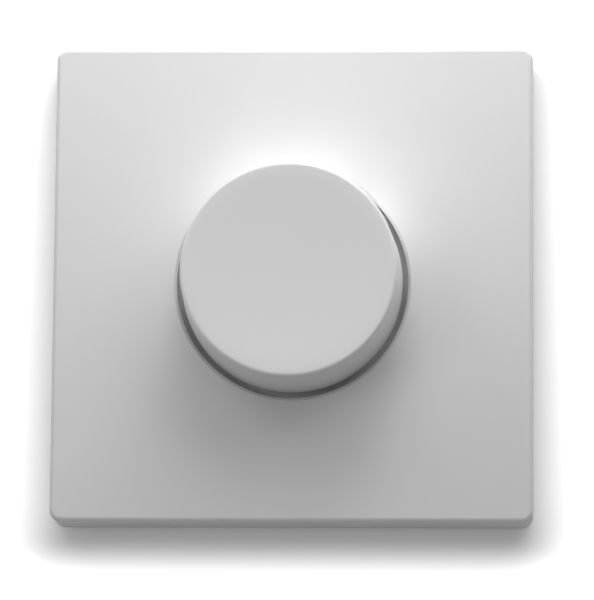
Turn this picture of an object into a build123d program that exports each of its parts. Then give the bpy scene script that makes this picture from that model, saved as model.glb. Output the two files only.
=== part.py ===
"""Flush-mounted rotary dimmer with a push switch, a square cover and a round knob.

X runs to the right, Z up and Y into the wall. The wall's face is at Y = 0 and the spindle is the Y axis,
so a height is a distance in front of the wall and what sits in the wall box has a negative height.
"""

import os
from math import cos, radians, sin, sqrt

from build123d import *

os.makedirs("parts", exist_ok=True)

# Clearances
turn_gap = 0.05
slide_gap = 0.25
seat_gap = 0.1
hole_gap = 0.2

# Cover plate
plate_side = 80.0
plate_corner = 2.0
plate_edge = 0.8
cover_wall = 2.0
cover_skin = 2.0
floor_skin = 2.0
well_radius = 19.3
well_depth = 3.0
well_wall = 1.6
well_edge = 0.5
collar_wall = 1.8
cover_rib_count = 4
cover_rib_wall = 1.2

# Knob
knob_base_radius = 18.7
knob_face_radius = 17.8
knob_rise = 14.0
knob_sink = 0.6
knob_skin = 2.4
knob_dish = 0.9
knob_rim = 0.9
knob_wall = 1.6
knob_edge = 0.45
knob_foot_edge = 0.3
push_travel = 1.5
boss_radius = 4.4
boss_slot = 0.8
boss_slot_length = 5.0
knob_rib_count = 6
knob_rib_wall = 1.0
clip_ring_wall = 0.6
clip_ring_height = 1.4
clip_ring_gap = 3.0

# Support plate and the nuts on the bushing
support_thickness = 1.2
support_margin = 2.5
support_corner = 5.0
box_screw_spacing = 60.0
box_screw_hole_radius = 2.1
washer_thickness = 0.4
washer_radius = 8.0
washer_tooth_count = 12
hex_across_flats = 14.0
pot_nut_height = 1.8
cover_nut_flange = 0.8
cover_nut_flange_radius = 8.6
cover_nut_height = 2.4
thread_over = 0.7
nut_chamfer = 0.3

# Potentiometer
bushing_radius = 5.0
bushing_collar_radius = 6.2
bushing_collar = 1.0
pot_sheet = 1.0
pot_side = 16.4
pot_corner = 1.0
pot_floor = 1.7
pot_cavity_radius = 7.3
pot_leg = 0.6
pot_leg_width = 2.2
pot_leg_x = 6.3
pot_lug_width = 2.4
pot_lug_thickness = 0.8
pot_lug_place = 7.2
pot_lug_height = 1.0
shaft_radius = 2.0
shaft_flat = 1.4
shaft_in_knob = 1.3
shaft_flat_gap = 0.6
shaft_clip_thickness = 0.6
shaft_clip_radius = 3.2
shaft_groove_radius = 1.5
wiper_radius = 6.1
wiper_disc = 0.8
wiper_hub_radius = 3.4
wiper_hub_height = 1.6
wiper_lug_half_angle = 8.0
turn_limit = 135.0
stop_angle_gap = 1.0
track_thickness = 0.3
track_inner_radius = 4.0
track_outer_radius = 6.9
track_gap_angle = 50.0
brush_sheet = 0.2
brush_half_angle = 40.0
brush_pad_radius = 0.45
pot_pin_pitch = 4.0
pot_pin_width = 1.0
pot_pin_sheet = 0.6
pot_pin_reach = 1.6

# Push switch
switch_side = 14.0
switch_corner = 0.8
switch_cavity = 9.0
switch_depth = 7.0
switch_floor = 1.2
slider_thickness = 2.2
slider_corner = 0.5
slider_peg_radius = 1.2
slider_peg = 1.0
shaft_behind_pot = 0.8
spring_radius = 2.2
spring_wire_radius = 0.2
spring_turns = 3
bridge_sheet = 0.4
bridge_width = 1.2
bridge_length = 8.0
contact_place = 3.2
contact_thickness = 1.0

# Housing and circuit board
housing_radius = 27.5
housing_width = 46.0
housing_tall = 52.0
housing_wall = 1.6
housing_depth = 21.6
housing_edge = 1.0
board_thickness = 1.6
board_gap = 0.5
lead_width = 0.7
lead_gap = 0.2
lead_over = 0.8
board_margin = 0.9
boss_wall_gap = 1.3
boss_place_z = 15.5
housing_boss_radius = 2.6
housing_screw_radius = 1.1
housing_screw_length = 9.0
housing_screw_head_radius = 2.5
housing_screw_head = 1.6
board_step = 1.6
driver_slot = 0.8
driver_slot_depth = 0.8

# Electronic parts
triac_foot_z = -6.5
triac_width = 10.0
triac_body_tall = 9.2
triac_tab_tall = 6.0
triac_body_thickness = 4.5
triac_tab_thickness = 1.3
triac_pitch = 2.54
triac_lead_width = 0.8
triac_lead_sheet = 0.5
triac_lead_reach = 2.5
triac_lead_depth = 2.2
pad_thickness = 0.3
pad_margin = 0.3
rivet_radius = 1.6
rivet_head_radius = 2.7
rivet_head = 0.8
core_outer_radius = 6.2
core_inner_radius = 3.0
core_height = 5.0
winding_thickness = 0.8
winding_gap_angle = 60.0
winding_turns = 20
winding_groove = 0.3
film_width = 8.4
film_tall = 18.0
film_height = 11.5
film_pitch = 15.0
film_edge = 0.6
timing_x = 11.8
timing_z = -11.3
timing_width = 7.2
timing_thickness = 2.4
timing_height = 6.5
timing_pitch = 5.0
resistor_first_z = 0.0
resistor_step_z = 4.0
resistor_count = 3
resistor_radius = 1.15
resistor_length = 6.3
resistor_pitch = 9.0
diac_z = -3.6
diac_radius = 0.9
diac_length = 4.2
fuse_z = -17.5
fuse_radius = 2.6
fuse_length = 20.0
fuse_glass_step = 0.15
fuse_cap_length = 5.0
fuse_lift = 1.2
fuse_clip_width = 4.0
fuse_clip_sheet = 0.4
fuse_clip_mouth = 1.2
trimmer_x = 11.0
trimmer_margin = 1.5
trimmer_radius = 3.0
trimmer_height = 4.5
trimmer_floor = 1.0
trimmer_rotor_radius = 1.6
trimmer_slot = 0.6
trimmer_pin_pitch = 2.0

# Terminals
tower_width = 33.0
tower_foot_z = -21.5
tower_head_z = -7.5
tower_step = 8.4
block_margin = 0.2
pole_count = 3
pole_pitch = 9.4
chamber_width = 6.6
chamber_head_wall = 1.3
block_skin = 1.1
block_foot_radius = 1.0
block_lower_feet_x = 13.0
block_upper_feet_x = 6.4
wire_hole_width = 3.4
wire_hole_tall = 3.8
wire_z = -12.9
cage_width = 6.0
cage_depth = 5.4
cage_wall = 0.9
cage_foot_wall = 1.8
cage_window = 3.6
cage_head_gap = 0.4
tab_width = 3.6
tab_thickness = 0.8
terminal_screw_radius = 1.4
terminal_head_radius = 2.6
terminal_head = 1.8
driver_hole_radius = 2.2
driver_hole_gap = 0.4

# Claws
claw_side_gap = 1.9
claw_pivot_y = 2.6
claw_sheet = 1.0
claw_eye_radius = 1.35
claw_pin_radius = 0.7
claw_width = 15.0
claw_arm_width = 10.0
claw_arm_reach = 5.5
claw_length = 18.5
claw_window = 6.2
claw_window_start = 1.6
claw_tooth = 1.6
claw_tooth_length = 2.4
claw_ear_wall = 2.0
claw_ear_gap = 0.5
claw_ear_depth = 5.2
claw_screw_reach = 3.7
claw_screw_radius = 1.5
claw_screw_head_radius = 2.75
claw_screw_head = 2.0
claw_screw_length = 10.7
claw_fork_start = 2.0
claw_nut_width = 4.0
claw_nut_tall = 5.5
claw_nut_thickness = 3.0
claw_nut_crown = 6.0

# Heights in front of the wall, worked out along the spindle
plate_front = support_thickness
pot_nut_seat = plate_front + washer_thickness
floor_rear = pot_nut_seat + pot_nut_height + seat_gap
floor_front = floor_rear + floor_skin
cover_front = floor_front + well_depth
cover_inside = plate_side - 2 * cover_wall
support_side = cover_inside - 2 * support_margin
bushing_front = floor_front + cover_nut_height + thread_over
knob_foot = cover_front - knob_sink
knob_face = cover_front + knob_rise
knob_ceiling = knob_face - knob_skin
boss_foot = bushing_front + push_travel + 2 * slide_gap
shaft_front = knob_ceiling - shaft_in_knob
collar_rear = -pot_sheet - bushing_collar
shaft_clip_front = collar_rear - seat_gap
shaft_clip_rear = shaft_clip_front - shaft_clip_thickness
wiper_front = shaft_clip_rear - push_travel - 2 * slide_gap
wiper_disc_rear = wiper_front - wiper_disc
wiper_rear = wiper_front - wiper_hub_height
pot_cavity_floor = wiper_rear - seat_gap
track_front = pot_cavity_floor + track_thickness
pot_rear = pot_cavity_floor - pot_floor
shaft_rear = pot_rear - shaft_behind_pot
slider_rear = shaft_rear - slider_thickness
switch_rear = pot_rear - switch_depth
switch_cavity_floor = switch_rear + switch_floor
bridge_rear = slider_rear - bridge_sheet
contact_front = bridge_rear - push_travel - turn_gap
board_front = switch_rear
board_rear = board_front - board_thickness
lead_end = board_rear - lead_over
housing_floor = -housing_depth + housing_wall
tower_depth = housing_depth + tower_step
tower_floor = -tower_depth + housing_wall

# Places beside the spindle, worked out from the housing's inside
cavity_width = housing_width - 2 * housing_wall
cavity_tall = housing_tall - 2 * housing_wall
board_radius = housing_radius - housing_wall - board_gap
board_width = cavity_width - 2 * board_gap
board_tall = cavity_tall - 2 * board_gap
boss_place_x = cavity_width / 2 - boss_wall_gap - housing_boss_radius
triac_x = cavity_width / 2 - seat_gap - pad_margin - triac_width / 2
film_x = -(board_width / 2 - board_margin - film_width / 2)
resistor_x = board_width / 2 - board_margin - resistor_pitch / 2
board_head_z = min(board_tall / 2, board_radius)
choke_z = board_head_z - winding_thickness - core_outer_radius
trimmer_arc_z = sqrt((board_radius - trimmer_radius) ** 2 - trimmer_x**2)
trimmer_z = min(board_head_z - trimmer_margin - trimmer_radius, trimmer_arc_z)
claw_pivot_x = housing_width / 2 + claw_side_gap
claw_screw_x = claw_pivot_x + claw_screw_reach

CENTRE = [(0.0, 0.0)]
section = Plane(origin=(0, 0, 0), x_dir=(1, 0, 0), z_dir=(0, 0, -1))


def level(height):
    """A plane parallel to the wall, with X and Z as its own x and y."""
    return Plane.XZ.offset(height)


def posts(places, radius, low, high, mode=Mode.ADD):
    """Round posts or holes square to the wall, between two heights."""
    with BuildSketch(level(low)) as rounds:
        with Locations(*places):
            Circle(radius)
    extrude(rounds.sketch, amount=high - low, mode=mode)


def blocks(places, width, tall, low, high, mode=Mode.ADD):
    """Square posts or holes square to the wall, between two heights."""
    with BuildSketch(level(low)) as squares:
        with Locations(*places):
            Rectangle(width, tall)
    extrude(squares.sketch, amount=high - low, mode=mode)


def ring(radius, bore, low, high, mode=Mode.ADD):
    """A flat ring round the spindle."""
    with BuildSketch(level(low)) as band:
        Circle(radius)
        Circle(bore, mode=Mode.SUBTRACT)
    extrude(band.sketch, amount=high - low, mode=mode)


def sector(radius, bore, middle, half_angle, low, high, mode=Mode.ADD):
    """Part of a flat ring round the spindle, given by its middle angle."""
    first = middle - half_angle
    with BuildSketch(level(low)) as slice_of_ring:
        with BuildLine():
            outer = CenterArc((0, 0), radius, first, 2 * half_angle)
            inner = CenterArc((0, 0), bore, first, 2 * half_angle)
            Line(outer @ 0, inner @ 0)
            Line(outer @ 1, inner @ 1)
        make_face()
    extrude(slice_of_ring.sketch, amount=high - low, mode=mode)


def flatted_bore(radius, flat, low, high, mode):
    """A round bar or hole with one flat on its upper side."""
    with BuildSketch(level(low)) as d_shape:
        Circle(radius)
        with Locations((0, flat)):
            Rectangle(2 * radius, radius, align=(Align.CENTER, Align.MIN), mode=Mode.SUBTRACT)
    extrude(d_shape.sketch, amount=high - low, mode=mode)


def mirrored_places(x, z):
    """The four places that mirror one place left to right and top to bottom."""
    return [(x, z), (-x, z), (x, -z), (-x, -z)]


def slotted_screws(places, head_radius, head, radius, seat, length):
    """Cheese-head screws with a driver slot, driven into the wall from their seat."""
    posts(places, head_radius, seat, seat + head)
    posts(places, radius, seat - length, seat)
    blocks(places, 2 * head_radius, driver_slot, seat + head - driver_slot_depth, seat + head, Mode.SUBTRACT)


# Cover plate
collar_inner_radius = washer_radius + 4 * slide_gap
rib_foot = floor_rear + seat_gap
cover_rib_length = (cover_inside / 2 - well_radius) + cover_wall / 2
with BuildPart() as cover_plate:
    with BuildSketch(level(0)):
        RectangleRounded(plate_side, plate_side, plate_corner)
    extrude(amount=cover_front)
    fillet(cover_plate.faces().sort_by(Axis.Y)[0].edges(), plate_edge)
    blocks(CENTRE, cover_inside, cover_inside, 0, cover_front - cover_skin, Mode.SUBTRACT)
    posts(CENTRE, well_radius + well_wall, floor_rear, cover_front - cover_skin)
    with BuildSketch(level(rib_foot)):
        with PolarLocations(well_radius, cover_rib_count):
            Rectangle(cover_rib_length, cover_rib_wall, align=(Align.MIN, Align.CENTER))
    extrude(amount=cover_front - cover_skin - rib_foot)
    ring(collar_inner_radius + collar_wall, collar_inner_radius, plate_front, floor_rear)
    posts(CENTRE, well_radius, floor_front, cover_front, Mode.SUBTRACT)
    posts(CENTRE, bushing_radius + hole_gap, floor_rear, floor_front, Mode.SUBTRACT)
    front_circles = cover_plate.edges().filter_by(GeomType.CIRCLE).group_by(Axis.Y)[0]
    chamfer(front_circles.sort_by(SortBy.RADIUS)[-1], well_edge)
cover_plate.part.label = "cover_plate"
export_step(cover_plate.part, "parts/cover_plate.step")

# Knob, a hollow moulding with a slightly dished face and a split boss that grips the shaft
with BuildPart() as knob:
    with BuildSketch(section):
        with BuildLine():
            Polyline(
                (0, knob_face),
                (knob_face_radius, knob_face),
                (knob_base_radius, knob_foot),
                (knob_base_radius - knob_wall, knob_foot),
                (knob_face_radius - knob_wall, knob_ceiling),
                (0, knob_ceiling),
                close=True,
            )
        make_face()
    revolve(axis=Axis.Y)
    dish_rim = knob_face_radius - knob_rim
    dish_radius = (dish_rim**2 + knob_dish**2) / (2 * knob_dish)
    with Locations((0, knob_dish - knob_face - dish_radius, 0)):
        Sphere(dish_radius, mode=Mode.SUBTRACT)
    face_circles = knob.edges().filter_by(GeomType.CIRCLE).group_by(Axis.Y)[0]
    fillet(face_circles.sort_by(SortBy.RADIUS)[-1], knob_edge)
    foot_circles = knob.edges().filter_by(GeomType.CIRCLE).group_by(Axis.Y)[-1]
    chamfer(foot_circles.sort_by(SortBy.RADIUS)[-1], knob_foot_edge)
    clip_foot = boss_foot + slide_gap
    knob_rib_foot = clip_foot + clip_ring_height + 2 * slide_gap
    posts(CENTRE, boss_radius, boss_foot, knob_ceiling)
    with BuildSketch(level(knob_rib_foot)):
        with PolarLocations(0, knob_rib_count):
            knob_rib_length = knob_face_radius - knob_wall / 2
            Rectangle(knob_rib_length, knob_rib_wall, align=(Align.MIN, Align.CENTER))
    extrude(amount=knob_ceiling - knob_rib_foot)
    flatted_bore(shaft_radius, shaft_flat, boss_foot, shaft_front + seat_gap, Mode.SUBTRACT)
    blocks(CENTRE, boss_slot, 2 * boss_radius, boss_foot, boss_foot + boss_slot_length, Mode.SUBTRACT)
knob.part.label = "knob"
export_step(knob.part, "parts/knob.step")

# Spring ring that closes the knob's split boss on the shaft
with BuildPart() as knob_clip:
    ring(boss_radius + clip_ring_wall, boss_radius, clip_foot, clip_foot + clip_ring_height)
    clip_mouth = [(0, boss_radius)]
    blocks(clip_mouth, clip_ring_gap, boss_radius, clip_foot, clip_foot + clip_ring_height, Mode.SUBTRACT)
knob_clip.part.label = "knob_clip"
export_step(knob_clip.part, "parts/knob_clip.step")

# Flanged nut that holds the cover on the bushing
with BuildPart() as cover_nut:
    posts(CENTRE, cover_nut_flange_radius, floor_front, floor_front + cover_nut_flange)
    with BuildSketch(level(floor_front + cover_nut_flange)):
        RegularPolygon(hex_across_flats / 2, 6, major_radius=False)
    extrude(amount=cover_nut_height - cover_nut_flange)
    posts(CENTRE, bushing_radius + turn_gap, floor_front, floor_front + cover_nut_height, Mode.SUBTRACT)
    bore_rim = cover_nut.edges().filter_by(GeomType.CIRCLE).group_by(Axis.Y)[0]
    chamfer(bore_rim, nut_chamfer)
cover_nut.part.label = "cover_nut"
export_step(cover_nut.part, "parts/cover_nut.step")

# Hexagon nut that clamps the potentiometer to the support plate
with BuildPart() as pot_nut:
    with BuildSketch(level(pot_nut_seat)):
        RegularPolygon(hex_across_flats / 2, 6, major_radius=False)
        Circle(bushing_radius + turn_gap, mode=Mode.SUBTRACT)
    extrude(amount=pot_nut_height)
pot_nut.part.label = "pot_nut"
export_step(pot_nut.part, "parts/pot_nut.step")

# Toothed lock washer under that nut
tooth_depth = 0.8
with BuildPart() as pot_washer:
    with BuildSketch(level(plate_front)):
        Circle(washer_radius)
        Circle(bushing_radius + turn_gap, mode=Mode.SUBTRACT)
        with PolarLocations(washer_radius, washer_tooth_count):
            Rectangle(2 * tooth_depth, tooth_depth, mode=Mode.SUBTRACT)
    extrude(amount=washer_thickness)
pot_washer.part.label = "pot_washer"
export_step(pot_washer.part, "parts/pot_washer.step")

# Support plate, an aluminium sheet that carries the insert and cools the triac
rivet_z = triac_foot_z + triac_body_tall + triac_tab_tall / 2
box_screw_places = [(0, box_screw_spacing / 2), (0, -box_screw_spacing / 2)]
claw_screw_places = [(claw_screw_x, 0), (-claw_screw_x, 0)]
housing_screw_places = mirrored_places(boss_place_x, boss_place_z)
with BuildPart() as support_plate:
    with BuildSketch(level(0)):
        RectangleRounded(support_side, support_side, support_corner)
        Circle(bushing_radius + turn_gap, mode=Mode.SUBTRACT)
        with Locations(*box_screw_places):
            Circle(box_screw_hole_radius, mode=Mode.SUBTRACT)
        with Locations(*claw_screw_places):
            Circle(claw_screw_radius + hole_gap, mode=Mode.SUBTRACT)
        with Locations(*housing_screw_places):
            Circle(housing_screw_radius + hole_gap, mode=Mode.SUBTRACT)
        with Locations((triac_x, rivet_z)):
            Circle(rivet_radius, mode=Mode.SUBTRACT)
        with Locations((trimmer_x, trimmer_z)):
            Circle(trimmer_rotor_radius + 2 * hole_gap, mode=Mode.SUBTRACT)
        with Locations((0, pot_lug_place)):
            Rectangle(pot_lug_width + hole_gap, pot_lug_thickness + hole_gap, mode=Mode.SUBTRACT)
    extrude(amount=support_thickness)
support_plate.part.label = "support_plate"
export_step(support_plate.part, "parts/support_plate.step")

# Threaded bushing of the potentiometer
with BuildPart() as pot_bushing:
    posts(CENTRE, bushing_radius, -pot_sheet, bushing_front)
    posts(CENTRE, bushing_collar_radius, collar_rear, -pot_sheet)
    posts(CENTRE, shaft_radius + turn_gap, collar_rear, bushing_front, Mode.SUBTRACT)
    bushing_tip = pot_bushing.edges().filter_by(GeomType.CIRCLE).group_by(Axis.Y)[0]
    chamfer(bushing_tip.sort_by(SortBy.RADIUS)[-1], thread_over / 2)
pot_bushing.part.label = "pot_bushing"
export_step(pot_bushing.part, "parts/pot_bushing.step")

# Metal front of the potentiometer, crimped round its body by four legs
pot_leg_places = mirrored_places(pot_leg_x, (pot_side + pot_leg) / 2)
pot_toe_reach = (pot_side - switch_side) / 2 - hole_gap
pot_toe_places = mirrored_places(pot_leg_x, (pot_side - pot_toe_reach + pot_leg) / 2)
with BuildPart() as pot_front_cover:
    with BuildSketch(level(-pot_sheet)):
        RectangleRounded(pot_side, pot_side + 2 * pot_leg, pot_corner)
        Circle(bushing_radius, mode=Mode.SUBTRACT)
    extrude(amount=pot_sheet)
    blocks(pot_leg_places, pot_leg_width, pot_leg, pot_rear - pot_leg, -pot_sheet)
    blocks(pot_toe_places, pot_leg_width, pot_toe_reach + pot_leg, pot_rear - pot_leg, pot_rear)
    blocks([(0, pot_lug_place)], pot_lug_width, pot_lug_thickness, 0, pot_lug_height)
pot_front_cover.part.label = "pot_front_cover"
export_step(pot_front_cover.part, "parts/pot_front_cover.step")

# Body of the potentiometer, with the stop that limits the wiper's turn
stop_half_angle = 180 - turn_limit - wiper_lug_half_angle - stop_angle_gap
with BuildPart() as pot_body:
    with BuildSketch(level(pot_rear)):
        RectangleRounded(pot_side, pot_side, pot_corner)
    extrude(amount=-pot_sheet - pot_rear)
    posts(CENTRE, pot_cavity_radius, pot_cavity_floor, -pot_sheet, Mode.SUBTRACT)
    stop_bore = wiper_radius + slide_gap
    sector(pot_cavity_radius + seat_gap, stop_bore, -90, stop_half_angle, track_front, wiper_front)
    posts(CENTRE, shaft_radius + slide_gap, pot_rear, pot_cavity_floor, Mode.SUBTRACT)
pot_body.part.label = "pot_body"
export_step(pot_body.part, "parts/pot_body.step")

# Resistive track on the floor of that body
with BuildPart() as resistive_track:
    track_half_angle = 180 - track_gap_angle / 2
    sector(track_outer_radius, track_inner_radius, 90, track_half_angle, pot_cavity_floor, track_front)
resistive_track.part.label = "resistive_track"
export_step(resistive_track.part, "parts/resistive_track.step")

# Wiper disc that the shaft turns by its flat
with BuildPart() as wiper:
    posts(CENTRE, wiper_radius, wiper_disc_rear, wiper_front)
    posts(CENTRE, wiper_hub_radius, wiper_rear, wiper_front)
    lug_radius = pot_cavity_radius - slide_gap
    sector(lug_radius, wiper_hub_radius, 90, wiper_lug_half_angle, wiper_disc_rear, wiper_front)
    flatted_bore(shaft_radius + turn_gap, shaft_flat + turn_gap, wiper_rear, wiper_front, Mode.SUBTRACT)
wiper.part.label = "wiper"
export_step(wiper.part, "parts/wiper.step")

# Spring brush under the wiper disc, with two pads that run on the track
brush_inner_radius = track_inner_radius + slide_gap
brush_outer_radius = wiper_radius - slide_gap
brush_rear = wiper_disc_rear - brush_sheet
pad_angle = radians(brush_half_angle / 2)
pad_track_radius = (brush_inner_radius + brush_outer_radius) / 2
pad_x = pad_track_radius * sin(pad_angle)
pad_z = pad_track_radius * cos(pad_angle)
with BuildPart() as wiper_brush:
    sector(brush_outer_radius, brush_inner_radius, 90, brush_half_angle, brush_rear, wiper_disc_rear)
    posts([(pad_x, pad_z), (-pad_x, pad_z)], brush_pad_radius, track_front + turn_gap, brush_rear)
wiper_brush.part.label = "wiper_brush"
export_step(wiper_brush.part, "parts/wiper_brush.step")

# Shaft with a flat at each end and a groove for its clip
knob_flat_foot = boss_foot - shaft_flat_gap
wiper_flat_head = wiper_front + push_travel + shaft_flat_gap / 2
with BuildPart() as shaft:
    posts(CENTRE, shaft_radius, shaft_rear, shaft_front)
    with BuildSketch(level(knob_flat_foot)):
        with Locations((0, shaft_flat)):
            Rectangle(2 * shaft_radius, shaft_radius, align=(Align.CENTER, Align.MIN))
    extrude(amount=shaft_front - knob_flat_foot, mode=Mode.SUBTRACT)
    with BuildSketch(level(shaft_rear)):
        with Locations((0, shaft_flat)):
            Rectangle(2 * shaft_radius, shaft_radius, align=(Align.CENTER, Align.MIN))
    extrude(amount=wiper_flat_head - shaft_rear, mode=Mode.SUBTRACT)
    ring(2 * shaft_radius, shaft_groove_radius, shaft_clip_rear, shaft_clip_front, Mode.SUBTRACT)
shaft.part.label = "shaft"
export_step(shaft.part, "parts/shaft.step")

# Open clip that keeps the shaft in the bushing
with BuildPart() as shaft_clip:
    ring(shaft_clip_radius, shaft_groove_radius, shaft_clip_rear, shaft_clip_front)
    blocks(
        [(0, -shaft_clip_radius / 2)],
        2 * shaft_groove_radius - 2 * slide_gap,
        shaft_clip_radius,
        shaft_clip_rear,
        shaft_clip_front,
        Mode.SUBTRACT,
    )
shaft_clip.part.label = "shaft_clip"
export_step(shaft_clip.part, "parts/shaft_clip.step")

# Three pins from the potentiometer's body back to the circuit board
pot_pin_z = -pot_side / 2 - pot_pin_reach + pot_pin_sheet / 2
pot_pin_places = [(-pot_pin_pitch, pot_pin_z), (0, pot_pin_z), (pot_pin_pitch, pot_pin_z)]
pot_pin_top = [(x, -pot_side / 2 - pot_pin_reach / 2) for x, z in pot_pin_places]
pot_pin_front = wiper_disc_rear
with BuildPart() as pot_terminals:
    blocks(pot_pin_top, pot_pin_width, pot_pin_reach, pot_pin_front - pot_pin_sheet, pot_pin_front)
    blocks(pot_pin_places, pot_pin_width, pot_pin_sheet, lead_end, pot_pin_front)
pot_terminals.part.label = "pot_terminals"
export_step(pot_terminals.part, "parts/pot_terminals.step")

# Body of the push switch behind the potentiometer
contact_z = switch_cavity / 2 - slide_gap - bridge_width / 2
contact_places = [(contact_place, contact_z), (-contact_place, contact_z)]
with BuildPart() as switch_body:
    with BuildSketch(level(switch_rear)):
        RectangleRounded(switch_side, switch_side, switch_corner)
    extrude(amount=switch_depth)
    blocks(CENTRE, switch_cavity, switch_cavity, switch_cavity_floor, pot_rear, Mode.SUBTRACT)
    blocks(
        contact_places, contact_thickness, contact_thickness, switch_rear, switch_cavity_floor, Mode.SUBTRACT
    )
switch_body.part.label = "switch_body"
export_step(switch_body.part, "parts/switch_body.step")

# Slider that the end of the shaft pushes
slider_side = switch_cavity - 2 * slide_gap
with BuildPart() as switch_slider:
    blocks(CENTRE, slider_side, slider_side, slider_rear, shaft_rear)
    posts(CENTRE, slider_peg_radius, slider_rear - slider_peg, slider_rear)
    fillet(switch_slider.edges().filter_by(Axis.Y).filter_by(GeomType.LINE), slider_corner)
switch_slider.part.label = "switch_slider"
export_step(switch_slider.part, "parts/switch_slider.step")

# Contact bridge on the slider's rear
with BuildPart() as contact_bridge:
    blocks([(0, contact_z)], bridge_length, bridge_width, bridge_rear, slider_rear)
contact_bridge.part.label = "contact_bridge"
export_step(contact_bridge.part, "parts/contact_bridge.step")

# Fixed contacts that the bridge joins when the knob is pushed
with BuildPart() as switch_contacts:
    blocks(contact_places, contact_thickness, contact_thickness, lead_end, contact_front)
switch_contacts.part.label = "switch_contacts"
export_step(switch_contacts.part, "parts/switch_contacts.step")

# Return spring round the slider's peg
spring_room = slider_rear - switch_cavity_floor
spring_height = spring_room - 2 * spring_wire_radius - 2 * turn_gap
spring_foot = switch_cavity_floor + spring_wire_radius + turn_gap
with BuildPart() as return_spring:
    with BuildLine():
        coil = Helix(
            pitch=spring_height / spring_turns,
            height=spring_height,
            radius=spring_radius,
            center=(0, -spring_foot, 0),
            direction=(0, -1, 0),
        )
    with BuildSketch(Plane(origin=coil @ 0, z_dir=coil % 0)):
        Rectangle(2 * spring_wire_radius, 2 * spring_wire_radius)
    sweep()
return_spring.part.label = "return_spring"
export_step(return_spring.part, "parts/return_spring.step")

# Where each electronic part's leads pass through the circuit board
film_leads = [(film_x, film_pitch / 2), (film_x, -film_pitch / 2)]
timing_middles = [(-timing_x, timing_z), (timing_x, timing_z)]
timing_leads = [(x + side * timing_pitch / 2, z) for x, z in timing_middles for side in (-1, 1)]
choke_lead_x = core_inner_radius
choke_leads = [(choke_lead_x, choke_z), (-choke_lead_x, choke_z)]
resistor_rows = [resistor_first_z + n * resistor_step_z for n in range(resistor_count)]
axial_rows = resistor_rows + [diac_z]
axial_leads = [(resistor_x + side * resistor_pitch / 2, z) for z in axial_rows for side in (-1, 1)]
triac_lead_z = triac_foot_z - triac_lead_reach + triac_lead_sheet / 2
triac_leads = [(triac_x + n * triac_pitch, triac_lead_z) for n in (-1, 0, 1)]
fuse_clip_x = (fuse_length - fuse_cap_length) / 2
fuse_leads = [(-fuse_clip_x, fuse_z), (fuse_clip_x, fuse_z)]
trimmer_leads = [(trimmer_x + side * trimmer_pin_pitch, trimmer_z) for side in (-1, 1)]
pole_xs = [(n - (pole_count - 1) / 2) * pole_pitch for n in range(pole_count)]

# Circuit board, notched round the housing's bosses and resting on their steps
block_head_z = tower_head_z - housing_wall - block_margin
block_foot_z = tower_foot_z + housing_wall + block_margin
cage_head_z = block_head_z - chamber_head_wall - cage_head_gap
cage_foot_z = cage_head_z - cage_wall - cage_window - cage_foot_wall
tab_foot_z = cage_foot_z + cage_foot_wall + seat_gap
tab_z = tab_foot_z + tab_thickness / 2
tab_leads = [(x, tab_z) for x in pole_xs]
wire_leads = film_leads + timing_leads + choke_leads + axial_leads + fuse_leads + trimmer_leads
strip_leads = pot_pin_places + contact_places + triac_leads
with BuildPart() as circuit_board:
    with BuildSketch(level(board_rear)):
        Circle(board_radius)
        Rectangle(board_width, board_tall, mode=Mode.INTERSECT)
        with Locations(*housing_screw_places):
            Circle(housing_boss_radius + board_gap, mode=Mode.SUBTRACT)
        with Locations(*wire_leads):
            Rectangle(lead_width + 2 * lead_gap, lead_width + 2 * lead_gap, mode=Mode.SUBTRACT)
        with Locations(*strip_leads):
            Rectangle(pot_pin_width + 2 * lead_gap, pot_pin_width + 2 * lead_gap, mode=Mode.SUBTRACT)
        with Locations(*tab_leads):
            Rectangle(tab_thickness + 2 * lead_gap, tab_thickness + 2 * lead_gap, mode=Mode.SUBTRACT)
    extrude(amount=board_thickness)
circuit_board.part.label = "circuit_board"
export_step(circuit_board.part, "parts/circuit_board.step")

# Triac in a plastic body, its tab towards the support plate
triac_body_z = triac_foot_z + triac_body_tall / 2
triac_tab_z = triac_foot_z + triac_body_tall + triac_tab_tall / 2
triac_lead_front = -pad_thickness - triac_lead_depth
triac_lead_top = [(x, triac_foot_z - triac_lead_reach / 2) for x, z in triac_leads]
with BuildPart() as triac:
    body_rear = -pad_thickness - triac_body_thickness
    tab_rear = -pad_thickness - triac_tab_thickness
    blocks([(triac_x, triac_body_z)], triac_width, triac_body_tall, body_rear, -pad_thickness)
    blocks([(triac_x, triac_tab_z)], triac_width, triac_tab_tall, tab_rear, -pad_thickness)
    posts([(triac_x, rivet_z)], rivet_radius, tab_rear, -pad_thickness, Mode.SUBTRACT)
    lead_rear = triac_lead_front - triac_lead_sheet
    blocks(triac_lead_top, triac_lead_width, triac_lead_reach, lead_rear, triac_lead_front)
    blocks(triac_leads, triac_lead_width, triac_lead_sheet, lead_end, triac_lead_front)
triac.part.label = "triac"
export_step(triac.part, "parts/triac.step")

# Insulating pad between the triac and the support plate
pad_tall = triac_body_tall + triac_tab_tall + 2 * pad_margin
with BuildPart() as triac_pad:
    pad_middle = (triac_x, triac_foot_z - pad_margin + pad_tall / 2)
    blocks([pad_middle], triac_width + 2 * pad_margin, pad_tall, -pad_thickness, 0)
    posts([(triac_x, rivet_z)], rivet_radius, -pad_thickness, 0, Mode.SUBTRACT)
triac_pad.part.label = "triac_pad"
export_step(triac_pad.part, "parts/triac_pad.step")

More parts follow.
